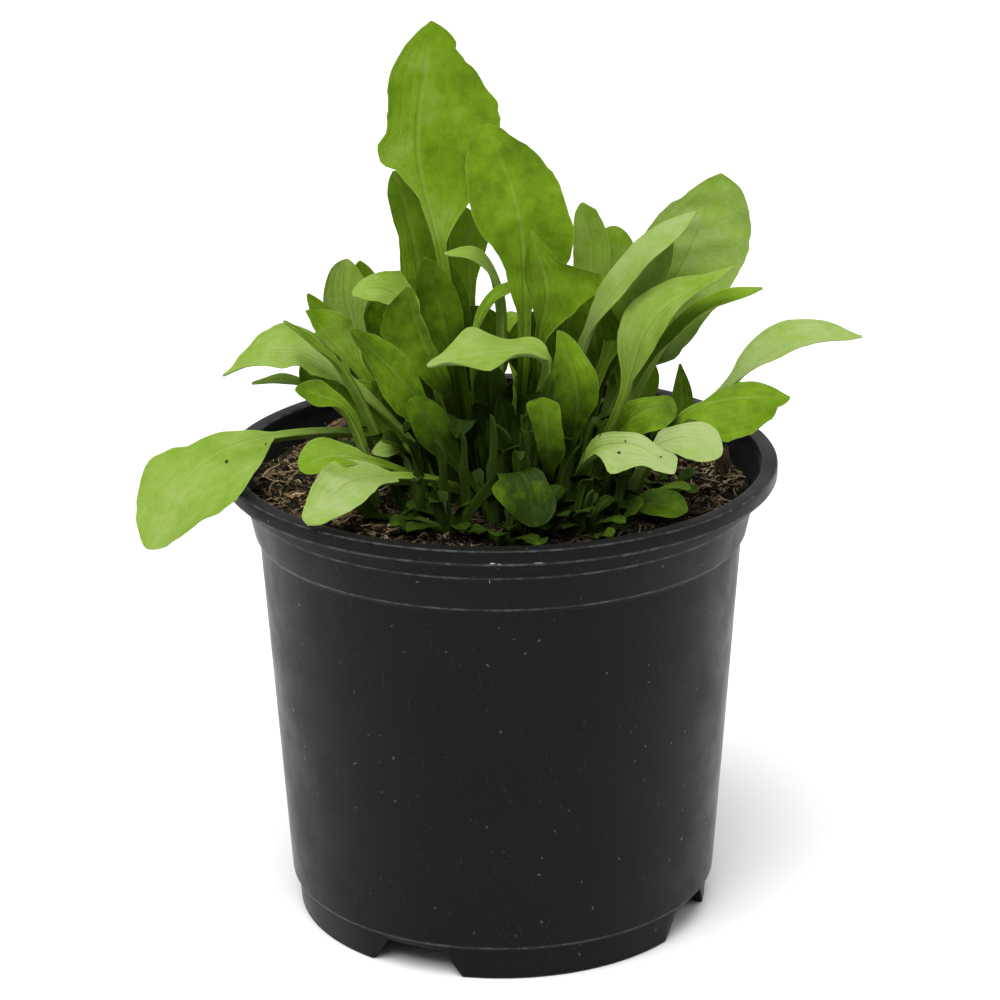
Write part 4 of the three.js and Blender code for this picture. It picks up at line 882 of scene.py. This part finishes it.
def pot_material():
    """Black moulded plastic: a fine satin grain, faint upright drag marks, pale specks, a dull sheen,
    and pale edges that are partly wear and partly painted highlight lines along the moulded edges."""
    material, tree = blank_material("nursery pot plastic")
    place = object_place(tree)
    x, y, z = add_node(tree, "ShaderNodeSeparateXYZ", {"Vector": place}).outputs
    radius = hypotenuse(tree, x, y)

    # Pale edges: partly wear, partly painted highlight lines
    edges = []
    for r, height, _, pale in POT_CORNERS:
        if pale:
            away = hypotenuse(tree, minus(tree, radius, r * MM), minus(tree, z, height * MM))
            edges.append(ranged(tree, away, *EDGE_WEAR_AND_HIGHLIGHT, 1, 0))
    scuffs = ranged(tree, grain(tree, place, 260, 4, 0.7), 0.42, 0.62)
    scuffs = plus(tree, times(tree, scuffs, 0.75), 0.25)
    shaken = vectors(tree, "SUBTRACT", grain(tree, place, 900, output="Color"), (0.5, 0.5, 0.5))
    uneven = vectors(tree, "MULTIPLY_ADD", shaken, (0.0014, 0.0014, 0.0014), place)
    dust_patches = ranged(tree, grain(tree, place, 60, 3, 0.6), 0.4, 0.65, 0.15, 1)
    streaks = grain(tree, stretched(tree, place, (1, 1, 0.07)), 1600, 2, 0.5)
    wear = {
        "wear_and_highlight": times(tree, largest(tree, edges), scuffs),
        "specks": dots(tree, uneven, 330, 0, 0.72, 0.05, 0.13),
        "dust": times(tree, dots(tree, uneven, 800, 1, 0.45, 0.08, 0.24), dust_patches),
        "marks": ranged(tree, streaks, 0.68, 0.8),
        "chips": ragged_spots(tree, place, NICKS),
    }

    cloud = grain(tree, place, 45, 4, 0.6)
    base = mixed(tree, cloud, colour(PLASTIC["dark"]), colour(PLASTIC["light"]))
    for name, (strength, shade) in WEAR.items():
        base = mixed(tree, times(tree, wear[name], strength), base, colour(shade))
    rough = ranged(tree, grain(tree, place, 90, 5, 0.65), 0.3, 0.7, 0.36, 0.5)
    flare = times(tree, ranged(tree, z, *FLARE[:2]), ranged(tree, z, *FLARE[2:], 1, 0))
    rough = plus(tree, rough, times(tree, flare, 0.3))
    satin = grain(tree, place, 2600, 2, 0.6)
    relief = plus(tree, times(tree, satin, 0.5), times(tree, wear["marks"], 0.5))
    relief = plus(tree, relief, times(tree, wear["specks"], 2))
    shown(tree, add_node(tree, "ShaderNodeBsdfPrincipled", {
        "Base Color": base, "Roughness": rough, "Normal": bumped(tree, relief, 0.00004),
        "Specular IOR Level": 0.1, "Sheen Weight": 0.2, "Sheen Roughness": 0.2,
        "Sheen Tint": colour((1, 1, 1))}))
    return material


def bark_material(name, own_tints=True):
    """Bark or peat whose colour runs from dark to light, by each scrap's own tint or in patches,
    with painted shade under the leaves.
    """
    material, tree = blank_material(name)
    place = object_place(tree)
    tint = own_fact(tree, "tint") if own_tints else grain(tree, place, 160, 4, 0.65)
    fleck = grain(tree, place, 900, 3, 0.7)
    tint = plus(tree, tint, times(tree, minus(tree, fleck, 0.5), 0.7), clamp=True)
    # Painted shade: darker near the plant's middle, under the leaves
    away = vectors(tree, "LENGTH", vectors(tree, "SUBTRACT", place, SHADE_UNDER_LEAVES["at"]))
    painted_shade = ranged(tree, away, SHADE_UNDER_LEAVES["near"], SHADE_UNDER_LEAVES["far"], SHADE_UNDER_LEAVES["dark"], 1)
    shade = ramped(tree, tint, list(zip((0.25, 0.6, 0.95), BARKS[name])))
    ridges = grain(tree, stretched(tree, place, (1, 0.35, 1)), 2400, 3, 0.7)
    shown(tree, add_node(tree, "ShaderNodeBsdfPrincipled", {
        "Base Color": mixed(tree, 1.0, shade, painted_shade, "MULTIPLY"), "Roughness": 0.92,
        "Specular IOR Level": 0.15, "Normal": bumped(tree, ridges, 0.0004)}))
    return material


def floor_material():
    material, tree = blank_material("pale floor")
    shade = grain(tree, object_place(tree), 3, 2, 0.5)
    white = mixed(tree, shade, colour((0.85, 0.85, 0.85)), colour((0.87, 0.87, 0.87)))
    shown(tree, add_node(tree, "ShaderNodeBsdfPrincipled", {
        "Base Color": white, "Roughness": 0.9, "Specular IOR Level": 0.1}))
    return material


# Pot
def rounded_section(corners):
    """The section's points, with an arc at each rounded corner."""
    points = []
    for k, (r, z, rounding, _) in enumerate(corners):
        here = np.array([r, z], float)
        if rounding == 0:
            points.append(here)
            continue
        before = np.array(corners[k - 1][:2], float) - here
        after = np.array(corners[k + 1][:2], float) - here
        cut = min(rounding, 0.45 * np.linalg.norm(before), 0.45 * np.linalg.norm(after))
        start = here + before / np.linalg.norm(before) * cut
        end = here + after / np.linalg.norm(after) * cut
        for step in range(CORNER_STEPS + 1):
            w = step / CORNER_STEPS
            points.append((1 - w) ** 2 * start + 2 * w * (1 - w) * here + w * w * end)
    return points


def notch_lift(angle):
    """How far the foot's edge is cut away at an angle in degrees from the front."""
    step = 360 / NOTCHES["count"]
    off = (angle - NOTCHES["first"] + step / 2) % step - step / 2
    reach = abs(FOOT["outer"] * math.sin(math.radians(off)))
    slope = (NOTCHES["bottom"] - NOTCHES["top"]) / 2
    return NOTCHES["height"] * min(1, max(0, (NOTCHES["bottom"] / 2 - reach) / slope))


def notch_middles():
    return [NOTCHES["first"] + 360 * k / NOTCHES["count"] for k in range(NOTCHES["count"])]


def pot_angles():
    """The angles of the pot's upright lines, with one at each corner of a notch."""
    angles = {round(360 * k / POT_SEGMENTS, 4) for k in range(POT_SEGMENTS)}
    for middle in notch_middles():
        for width in (NOTCHES["bottom"], NOTCHES["top"]):
            reach = math.degrees(math.asin(width / 2 / FOOT["outer"]))
            angles |= {round((middle - reach) % 360, 4), round((middle + reach) % 360, 4)}
    return sorted(angles)


def drain_cutter(x, y, radius):
    low, high = DRAINS["heights"]
    points = [(x, y, low), (x, y, high)]
    faces = []
    for k, n in around(DRAINS["sides"]):
        away_x, away_y = on_ring(radius, k, DRAINS["sides"])
        points += [(x + away_x, y + away_y, low), (x + away_x, y + away_y, high)]
        a, b = 2 + 2 * k, 2 + 2 * n
        faces += [(0, b, a), (1, a + 1, b + 1), (a, b, b + 1, a + 1)]
    return mesh_object("drain_cutter", points, faces, [])


def make_pot():
    section = rounded_section(POT_CORNERS)
    angles = pot_angles()
    points = [(0, 0, section[0][1])]
    for angle in angles:
        lift = notch_lift(angle)
        points += [(*from_front(r, angle), max(z, lift)) for r, z in section[1:-1]]
    points.append((0, 0, section[-1][1]))
    ring, last = len(section) - 2, len(points) - 1
    faces = []
    for k, n in around(len(angles)):
        a, b = 1 + k * ring, 1 + n * ring
        faces.append((0, b, a))
        faces += [(a + i, b + i, b + i + 1, a + i + 1) for i in range(ring - 1)]
        faces.append((a + ring - 1, b + ring - 1, last))
    pot = mesh_object("nursery_pot", points, faces, [pot_material()])
    cutters = [drain_cutter(0, 0, DRAINS["centre"])]
    for middle in notch_middles():
        cutters.append(drain_cutter(*from_front(DRAINS["ring"], middle), DRAINS["radius"]))
    for cutter in cutters:
        cut = pot.modifiers.new("drain", "BOOLEAN")
        cut.object = cutter
        cut.operation = "DIFFERENCE"
        cut.solver = "EXACT"
    apply_modifiers(pot)
    for cutter in cutters:
        bpy.data.objects.remove(cutter)
    pot.data.set_sharp_from_angle(angle=math.radians(SHARP["pot"]))
    finished(pot, "pot", "pot")


# Soil
def soil_height(x, y):
    """The soil's surface: broad lumps, then crumbs, sinking a little towards the wall."""
    broad = math.sin(x / 7.3 + 1) * math.cos(y / 6.1) + 0.6 * math.sin((x + y) / 4.3)
    r = math.hypot(x, y) / SOIL_RADIUS
    lumps = noise.fractal(Vector((x / 9, y / 9, 3)), 0.9, 2.1, 5)
    crumbs = noise.noise(Vector((x / 1.6, y / 1.6, 9)))
    return SOIL_TOP + 0.5 * broad + 1.1 * lumps + 0.5 * crumbs - 0.8 * r ** 3


def soil_surface():
    """The points and faces of the soil's top."""
    points = [(0, 0, soil_height(0, 0))]
    faces = [(0, 1 + k, 1 + n) for k, n in around(SOIL_SPOKES)]
    for i in range(1, SOIL_RINGS + 1):
        for k in range(SOIL_SPOKES):
            x, y = on_ring(SOIL_RADIUS * i / SOIL_RINGS, k, SOIL_SPOKES)
            points.append((x, y, soil_height(x, y)))
    for i in range(SOIL_RINGS - 1):
        faces += between_rings(1 + i * SOIL_SPOKES)
    return points, faces


def between_rings(a):
    """The faces between the ring of soil points that starts at a and the next ring."""
    b = a + SOIL_SPOKES
    return [(a + k, b + k, b + n, a + n) for k, n in around(SOIL_SPOKES)]


def make_soil():
    points, faces = soil_surface()
    for r, z in SOIL_SIDE:
        faces += between_rings(len(points) - SOIL_SPOKES)
        points += [(*on_ring(r, k, SOIL_SPOKES), z) for k in range(SOIL_SPOKES)]
    low, middle = len(points) - SOIL_SPOKES, len(points)
    points.append((0, 0, SOIL_SIDE[-1][1]))
    faces += [(low + k, middle, low + n) for k, n in around(SOIL_SPOKES)]
    finished(mesh_object("soil_bed", points, faces, [bark_material("peat", False)]), "soil", "soil")


def scrap_sides(rings, sides):
    """The faces round a scrap of several rings of points, and its two ends."""
    faces = []
    for i in range(rings - 1):
        a, b = i * sides, (i + 1) * sides
        faces += [(a + k, a + n, b + n, b + k) for k, n in around(sides)]
    ends = [tuple(range(sides))[::-1], tuple((rings - 1) * sides + k for k in range(sides))]
    return faces, ends


def scrap_fibre(draw, steps=6):
    """A bent strand about 1 long and 0.07 thick."""
    sides = 4
    bend, kink = draw.uniform(-0.25, 0.25), draw.uniform(-0.12, 0.12)
    points = []
    for i in range(steps + 1):
        w = i / steps
        thick = 0.036 * (0.35 + 0.65 * math.sin(math.pi * min(0.95, 0.1 + 0.85 * w)))
        y = bend * math.sin(math.pi * w) + kink * math.sin(3 * math.pi * w)
        z = 0.1 * draw.uniform(-0.4, 0.6)
        for k in range(sides):
            turn = FULL_TURN * k / sides
            points.append((w - 0.5, y + thick * math.cos(turn), z + 0.7 * thick * math.sin(turn)))
    faces, ends = scrap_sides(steps + 1, sides)
    return points, faces + ends


def scrap_shred(draw):
    """A short strand with few faces."""
    return scrap_fibre(draw, 3)


def scrap_chip(draw):
    """A flat splintered chip about 1 long."""
    sides = 7
    points = []
    wide = draw.uniform(0.1, 0.2)
    for z, inset in ((-0.06, 0.85), (0.0, 1.0), (0.055, 0.82)):
        for k in range(sides):
            turn = FULL_TURN * k / sides
            reach = inset * draw.uniform(0.75, 1.15)
            points.append((0.5 * reach * math.cos(turn), wide * reach * math.sin(turn),
                           z + draw.uniform(-0.03, 0.03)))
    faces, ends = scrap_sides(3, sides)
    return points, ends + faces


def scrap_crumb(draw):
    """A lumpy crumb about 1 across."""
    t = (1 + 5 ** 0.5) / 2
    corners = [(-1, t, 0), (1, t, 0), (-1, -t, 0), (1, -t, 0), (0, -1, t), (0, 1, t),
               (0, -1, -t), (0, 1, -t), (t, 0, -1), (t, 0, 1), (-t, 0, -1), (-t, 0, 1)]
    points = [tuple(0.26 * draw.uniform(0.7, 1.2) * v for v in corner) for corner in corners]
    faces = [(0, 11, 5), (0, 5, 1), (0, 1, 7), (0, 7, 10), (0, 10, 11), (1, 5, 9), (5, 11, 4),
             (11, 10, 2), (10, 7, 6), (7, 1, 8), (3, 9, 4), (3, 4, 2), (3, 2, 6), (3, 6, 8),
             (3, 8, 9), (4, 9, 5), (2, 4, 11), (6, 2, 10), (8, 6, 7), (9, 8, 1)]
    return points, faces


def scatter_tree(scraps, material):
    """Scraps of a collection laid over a surface, each turned, sized and tinted at random."""
    tree = bpy.data.node_groups.new("scattered scraps", "GeometryNodeTree")
    sockets = [("Geometry", "INPUT", "Geometry"), ("Per Square Metre", "INPUT", "Float"),
               ("Smallest", "INPUT", "Float"), ("Largest", "INPUT", "Float"),
               ("Lean", "INPUT", "Float"), ("Seed", "INPUT", "Int"),
               ("Geometry", "OUTPUT", "Geometry")]
    for name, way, kind in sockets:
        tree.interface.new_socket(name, in_out=way, socket_type="NodeSocket" + kind)
    given = add_node(tree, "NodeGroupInput").outputs

    def drawn(low, high, salt, kind="FLOAT"):
        made = add_node(tree, "FunctionNodeRandomValue", {
            "Seed": plus(tree, given["Seed"], float(salt))}, data_type=kind)
        ends = [socket for socket in made.inputs if socket.enabled]
        for socket, value in zip(ends, (low, high)):
            if isinstance(value, bpy.types.NodeSocket):
                tree.links.new(value, socket)
            else:
                socket.default_value = value
        return next(socket for socket in made.outputs if socket.enabled)

    spots = add_node(tree, "GeometryNodeDistributePointsOnFaces", {
        "Mesh": given["Geometry"], "Density": given["Per Square Metre"], "Seed": given["Seed"]})
    shapes = add_node(tree, "GeometryNodeCollectionInfo", {
        "Collection": scraps, "Separate Children": True, "Reset Children": True})
    lean = add_node(tree, "ShaderNodeCombineXYZ", {0: given["Lean"], 1: given["Lean"], 2: math.pi})
    back = add_node(tree, "ShaderNodeVectorMath", {
        0: lean.outputs[0], "Scale": -1.0}, operation="SCALE")
    laid = add_node(tree, "GeometryNodeInstanceOnPoints", {
        "Points": spots.outputs["Points"], "Instance": shapes.outputs[0], "Pick Instance": True,
        "Rotation": drawn(back.outputs[0], lean.outputs[0], 1, "FLOAT_VECTOR"),
        "Scale": drawn(given["Smallest"], given["Largest"], 2)})
    tinted = add_node(tree, "GeometryNodeStoreNamedAttribute", {
        "Geometry": laid.outputs[0], "Name": "tint", "Value": drawn(0.0, 1.0, 3)},
        data_type="FLOAT", domain="INSTANCE")
    solid = add_node(tree, "GeometryNodeRealizeInstances", {"Geometry": tinted.outputs[0]})
    painted = add_node(tree, "GeometryNodeSetMaterial", {
        "Geometry": solid.outputs[0], "Material": material})
    add_node(tree, "NodeGroupOutput", {"Geometry": painted.outputs[0]})
    return tree


def scattered(name, shape, kinds, material, seed, density, sizes, lean, reach, splintered=False):
    """A piece made of scraps laid over the soil, as far as reach from its middle."""
    draw = random.Random(seed)
    scraps = bpy.data.collections.new(name + " scraps")
    for k in range(kinds):
        points, faces = shape(draw)
        scrap = mesh_object(f"{name}_{k}", np.array(points) / MM, faces, [])
        if splintered:
            scrap.data.shade_flat()
        bpy.context.scene.collection.objects.unlink(scrap)
        scraps.objects.link(scrap)
    points, faces = soil_surface()
    middles = [np.mean([points[i] for i in face], axis=0) for face in faces]
    faces = [face for face, (x, y, _) in zip(faces, middles) if math.hypot(x, y) < reach]
    piece = mesh_object(name, points, faces, [])
    laid = piece.modifiers.new("scraps", "NODES")
    laid.node_group = scatter_tree(scraps, material)
    values = {"Per Square Metre": density, "Smallest": sizes[0] * MM, "Largest": sizes[1] * MM,
              "Lean": lean, "Seed": seed}
    for item in laid.node_group.interface.items_tree:
        if item.in_out == "INPUT" and item.name in values:
            laid[item.identifier] = values[item.name]
    apply_modifiers(piece)
    for scrap in list(scraps.objects):
        bpy.data.objects.remove(scrap)
    bpy.data.collections.remove(scraps)
    finished(piece, "soil")


def make_litter():
    """The bark mix's loose top: crumbs, fibres and chips."""
    crumb, fibre, chip = (bark_material(name) for name in ("peat crumbs", "bark fibres", "bark chips"))
    scattered("soil_crumbs", scrap_crumb, 6, crumb, seed=5, density=230000, sizes=(0.7, 2.0),
              lean=1.2, reach=58, splintered=True)
    scattered("bark_fibres", scrap_fibre, 8, fibre, seed=9, density=250000, sizes=(3.5, 12),
              lean=0.4, reach=54.5)
    scattered("bark_shreds", scrap_shred, 6, fibre, seed=21, density=400000, sizes=(1.6, 4.2),
              lean=0.7, reach=57.4)
    scattered("bark_chips", scrap_chip, 10, chip, seed=14, density=130000, sizes=(2.2, 6.5),
              lean=0.6, reach=55, splintered=True)


def make_bark_pieces():
    """A few larger pieces of bark that stand or lie on the soil."""
    draw = random.Random(17)
    points, faces = [], []
    for middle, (long, wide, thick), turns in BARK_PIECES:
        for _ in range(SPLINTERS):
            own_turns = [math.radians(v + draw.uniform(-7, 7)) for v in turns]
            turned = Euler(own_turns).to_matrix()
            aside = (draw.uniform(-0.1, 0.1) * long, draw.uniform(-0.4, 0.4) * wide,
                     draw.uniform(-0.4, 0.4) * thick)
            own_long = long * draw.uniform(0.6, 1)
            own_points, own_faces = scrap_chip(draw)
            faces += [tuple(len(points) + k for k in face) for face in own_faces]
            for x, y, z in own_points:
                place = Vector((x * own_long, y * wide / 0.8, z * thick / 0.3)) + Vector(aside)
                points.append(tuple(turned @ place + Vector(middle)))
    piece = mesh_object("bark_pieces", points, faces, [bark_material("old bark", False)])
    piece.data.shade_flat()
    finished(piece, "soil")


# Plant
def leafy_piece(name, rows, materials, fineness, slot, *nodes):
    """One piece made of the leaves in the rows."""
    points, faces, underside, facts, start = [], [], [], {}, 0
    for row in rows:
        own_points, own_faces, own_underside, own_facts = leaf_mesh(row, *fineness)
        points.append(own_points)
        faces.append(own_faces + start)
        underside.append(own_underside)
        for key, values in own_facts.items():
            facts.setdefault(key, []).append(values)
        start += len(own_points)
    facts = {key: np.concatenate(values) for key, values in facts.items()}
    points, faces, underside = (np.concatenate(parts) for parts in (points, faces, underside))
    piece = mesh_object(name, points, faces, materials, underside, facts)
    piece.data.set_sharp_from_angle(angle=math.radians(SHARP["leaf"]))
    finished(piece, slot, *nodes)


def make_leaves(materials):
    for row in LEAVES + HEART_LEAVES:
        wide = "broad" if row["width"] >= BROAD else "toothed" if row["width"] >= TOOTHED else "narrow"
        nodes = [row["name"]] if row["name"] in frame["nodes"] else []
        name = row["name"].replace("leaf_", "leaf_blade_")
        leafy_piece(name, [row], materials, (COLUMNS[wide], *STEPS["leaf"]), "leaf", *nodes)


def young_rows(name, foot, tips, width):
    """The small leaves of a young plant, as rows."""
    x, y = foot
    for dx, dy, dz in tips:
        yield leaf(
            name, (x + dx * 0.06, y + dy * 0.06),
            (x + dx * 0.4, y + dy * 0.4, SOIL_TOP + 0.5 * dz + YOUNG["arch"]),
            (x + dx * 0.75, y + dy * 0.75, SOIL_TOP + 0.8 * dz + YOUNG["arch"]),
            (x + dx, y + dy, SOIL_TOP + dz),
            width=width, face=math.degrees(math.atan2(-dy, -dx)), stalk=YOUNG["stalk"],
            root_z=SOIL_TOP - YOUNG["root"], foot_z=SOIL_TOP + YOUNG["foot"], tone=YOUNG["tone"])


def make_young_plants(materials):
    for name, foot, tips, width in YOUNG_PLANTS:
        rows = young_rows(name, foot, tips, width)
        fineness = (COLUMNS["small"], *STEPS["young"])
        leafy_piece(name + "_leaves", rows, materials, fineness, "young_leaf", name)


def inner_rows(patch):
    """The small leaves in the shade at the rosette's heart, which the outer leaves stand over."""
    draw = random.Random(patch["seed"])
    for k in range(patch["count"]):
        turn = GOLDEN_TURN * k + draw.uniform(-0.3, 0.3)
        share = (k + 0.5) / patch["count"]
        out_x, out_y = math.cos(turn), math.sin(turn)
        x = patch["at"][0] + patch["patch"][0] * share ** 0.5 * out_x
        y = patch["at"][1] + patch["patch"][1] * share ** 0.5 * out_y
        reach = draw.uniform(*patch["reach"])
        rise = draw.uniform(*patch["rise"]) * (1.35 - share)
        heights = (0.55, 0.95, draw.uniform(0.75, 1.1))
        places = [(x + out * reach * out_x, y + out * reach * out_y, SOIL_TOP + height * rise)
                  for out, height in zip((0.35, 0.75, 1), heights)]
        yield leaf(f"inner_{k}", (x, y), *places, width=draw.uniform(*patch["width"]),
                   face=math.degrees(math.atan2(-out_y, -out_x)) + draw.uniform(-40, 40),
                   roll=draw.uniform(-25, 25), twist=draw.uniform(-20, 20), cup=draw.uniform(0.1, 0.35),
                   phase=draw.random(), stalk=0.9, tone=draw.uniform(*patch["tone"]))


def make_inner_leaves(materials):
    for name, patch in INNER.items():
        leafy_piece(name, inner_rows(patch), materials, (COLUMNS["small"], *STEPS["inner"]), "leaf")


# Studio
def make_camera():
    tilt, roll = math.radians(CAMERA["elevation"]), math.radians(CAMERA["roll"])
    aim = Vector(CAMERA["aim"]) * MM
    ahead = Vector((0, math.cos(tilt), -math.sin(tilt)))
    right = Vector((1, 0, 0))
    up = right.cross(ahead)
    turned_right = right * math.cos(roll) + up * math.sin(roll)
    turned_up = up * math.cos(roll) - right * math.sin(roll)
    camera = bpy.data.objects.new("camera", bpy.data.cameras.new("camera"))
    camera.data.lens, camera.data.sensor_width = CAMERA["lens"], CAMERA["sensor"]
    camera.data.clip_start, camera.data.clip_end = 0.01, 50
    place = aim - ahead * CAMERA["distance"] * MM
    axes = Matrix((turned_right, turned_up, -ahead)).transposed()
    camera.matrix_world = Matrix.Translation(place) @ axes.to_4x4()
    bpy.context.scene.collection.objects.link(camera)
    bpy.context.scene.camera = camera


def make_floor():
    corners = [(x * FLOOR_REACH, y * FLOOR_REACH, 0) for x, y in ((-1, -1), (1, -1), (1, 1), (-1, 1))]
    mesh_object("floor", corners, [(0, 1, 2, 3)], [floor_material()])


def make_light():
    """A white room, brightest overhead and dim on the camera's side, and one very soft lamp above."""
    world = bpy.data.worlds.new("studio")
    bpy.context.scene.world = world
    world.use_nodes = True
    tree = world.node_tree
    tree.nodes.clear()
    way = add_node(tree, "ShaderNodeSeparateXYZ", {
        "Vector": add_node(tree, "ShaderNodeTexCoord").outputs["Generated"]})
    behind = ranged(tree, way.outputs[1], -0.9, 0.3, ROOM["front"], ROOM["back"])
    overhead = ranged(tree, way.outputs[2], 0.3, 0.9)
    strength = plus(tree, behind, times(tree, overhead, ROOM["top"]))
    room = add_node(tree, "ShaderNodeBackground", {"Color": colour((1, 1, 1)), "Strength": strength})
    add_node(tree, "ShaderNodeOutputWorld", {"Surface": room.outputs[0]})
    lamp = bpy.data.objects.new("lamp", bpy.data.lights.new("lamp", "SUN"))
    lamp.data.energy, lamp.data.angle = LAMP["power"], math.radians(LAMP["softness"])
    lamp.rotation_euler = Vector(LAMP["from"]).to_track_quat("Z", "Y").to_euler()
    bpy.context.scene.collection.objects.link(lamp)


view = bpy.context.scene.view_settings
view.view_transform = "Standard"
view.look = "None"

leaf_sides = [leaf_material(name, *side) for name, side in LEAF_SIDES.items()]
make_pot()
make_soil()
make_litter()
make_bark_pieces()
make_leaves(leaf_sides)
make_young_plants(leaf_sides)
make_inner_leaves(leaf_sides)
make_camera()
make_floor()
make_light()
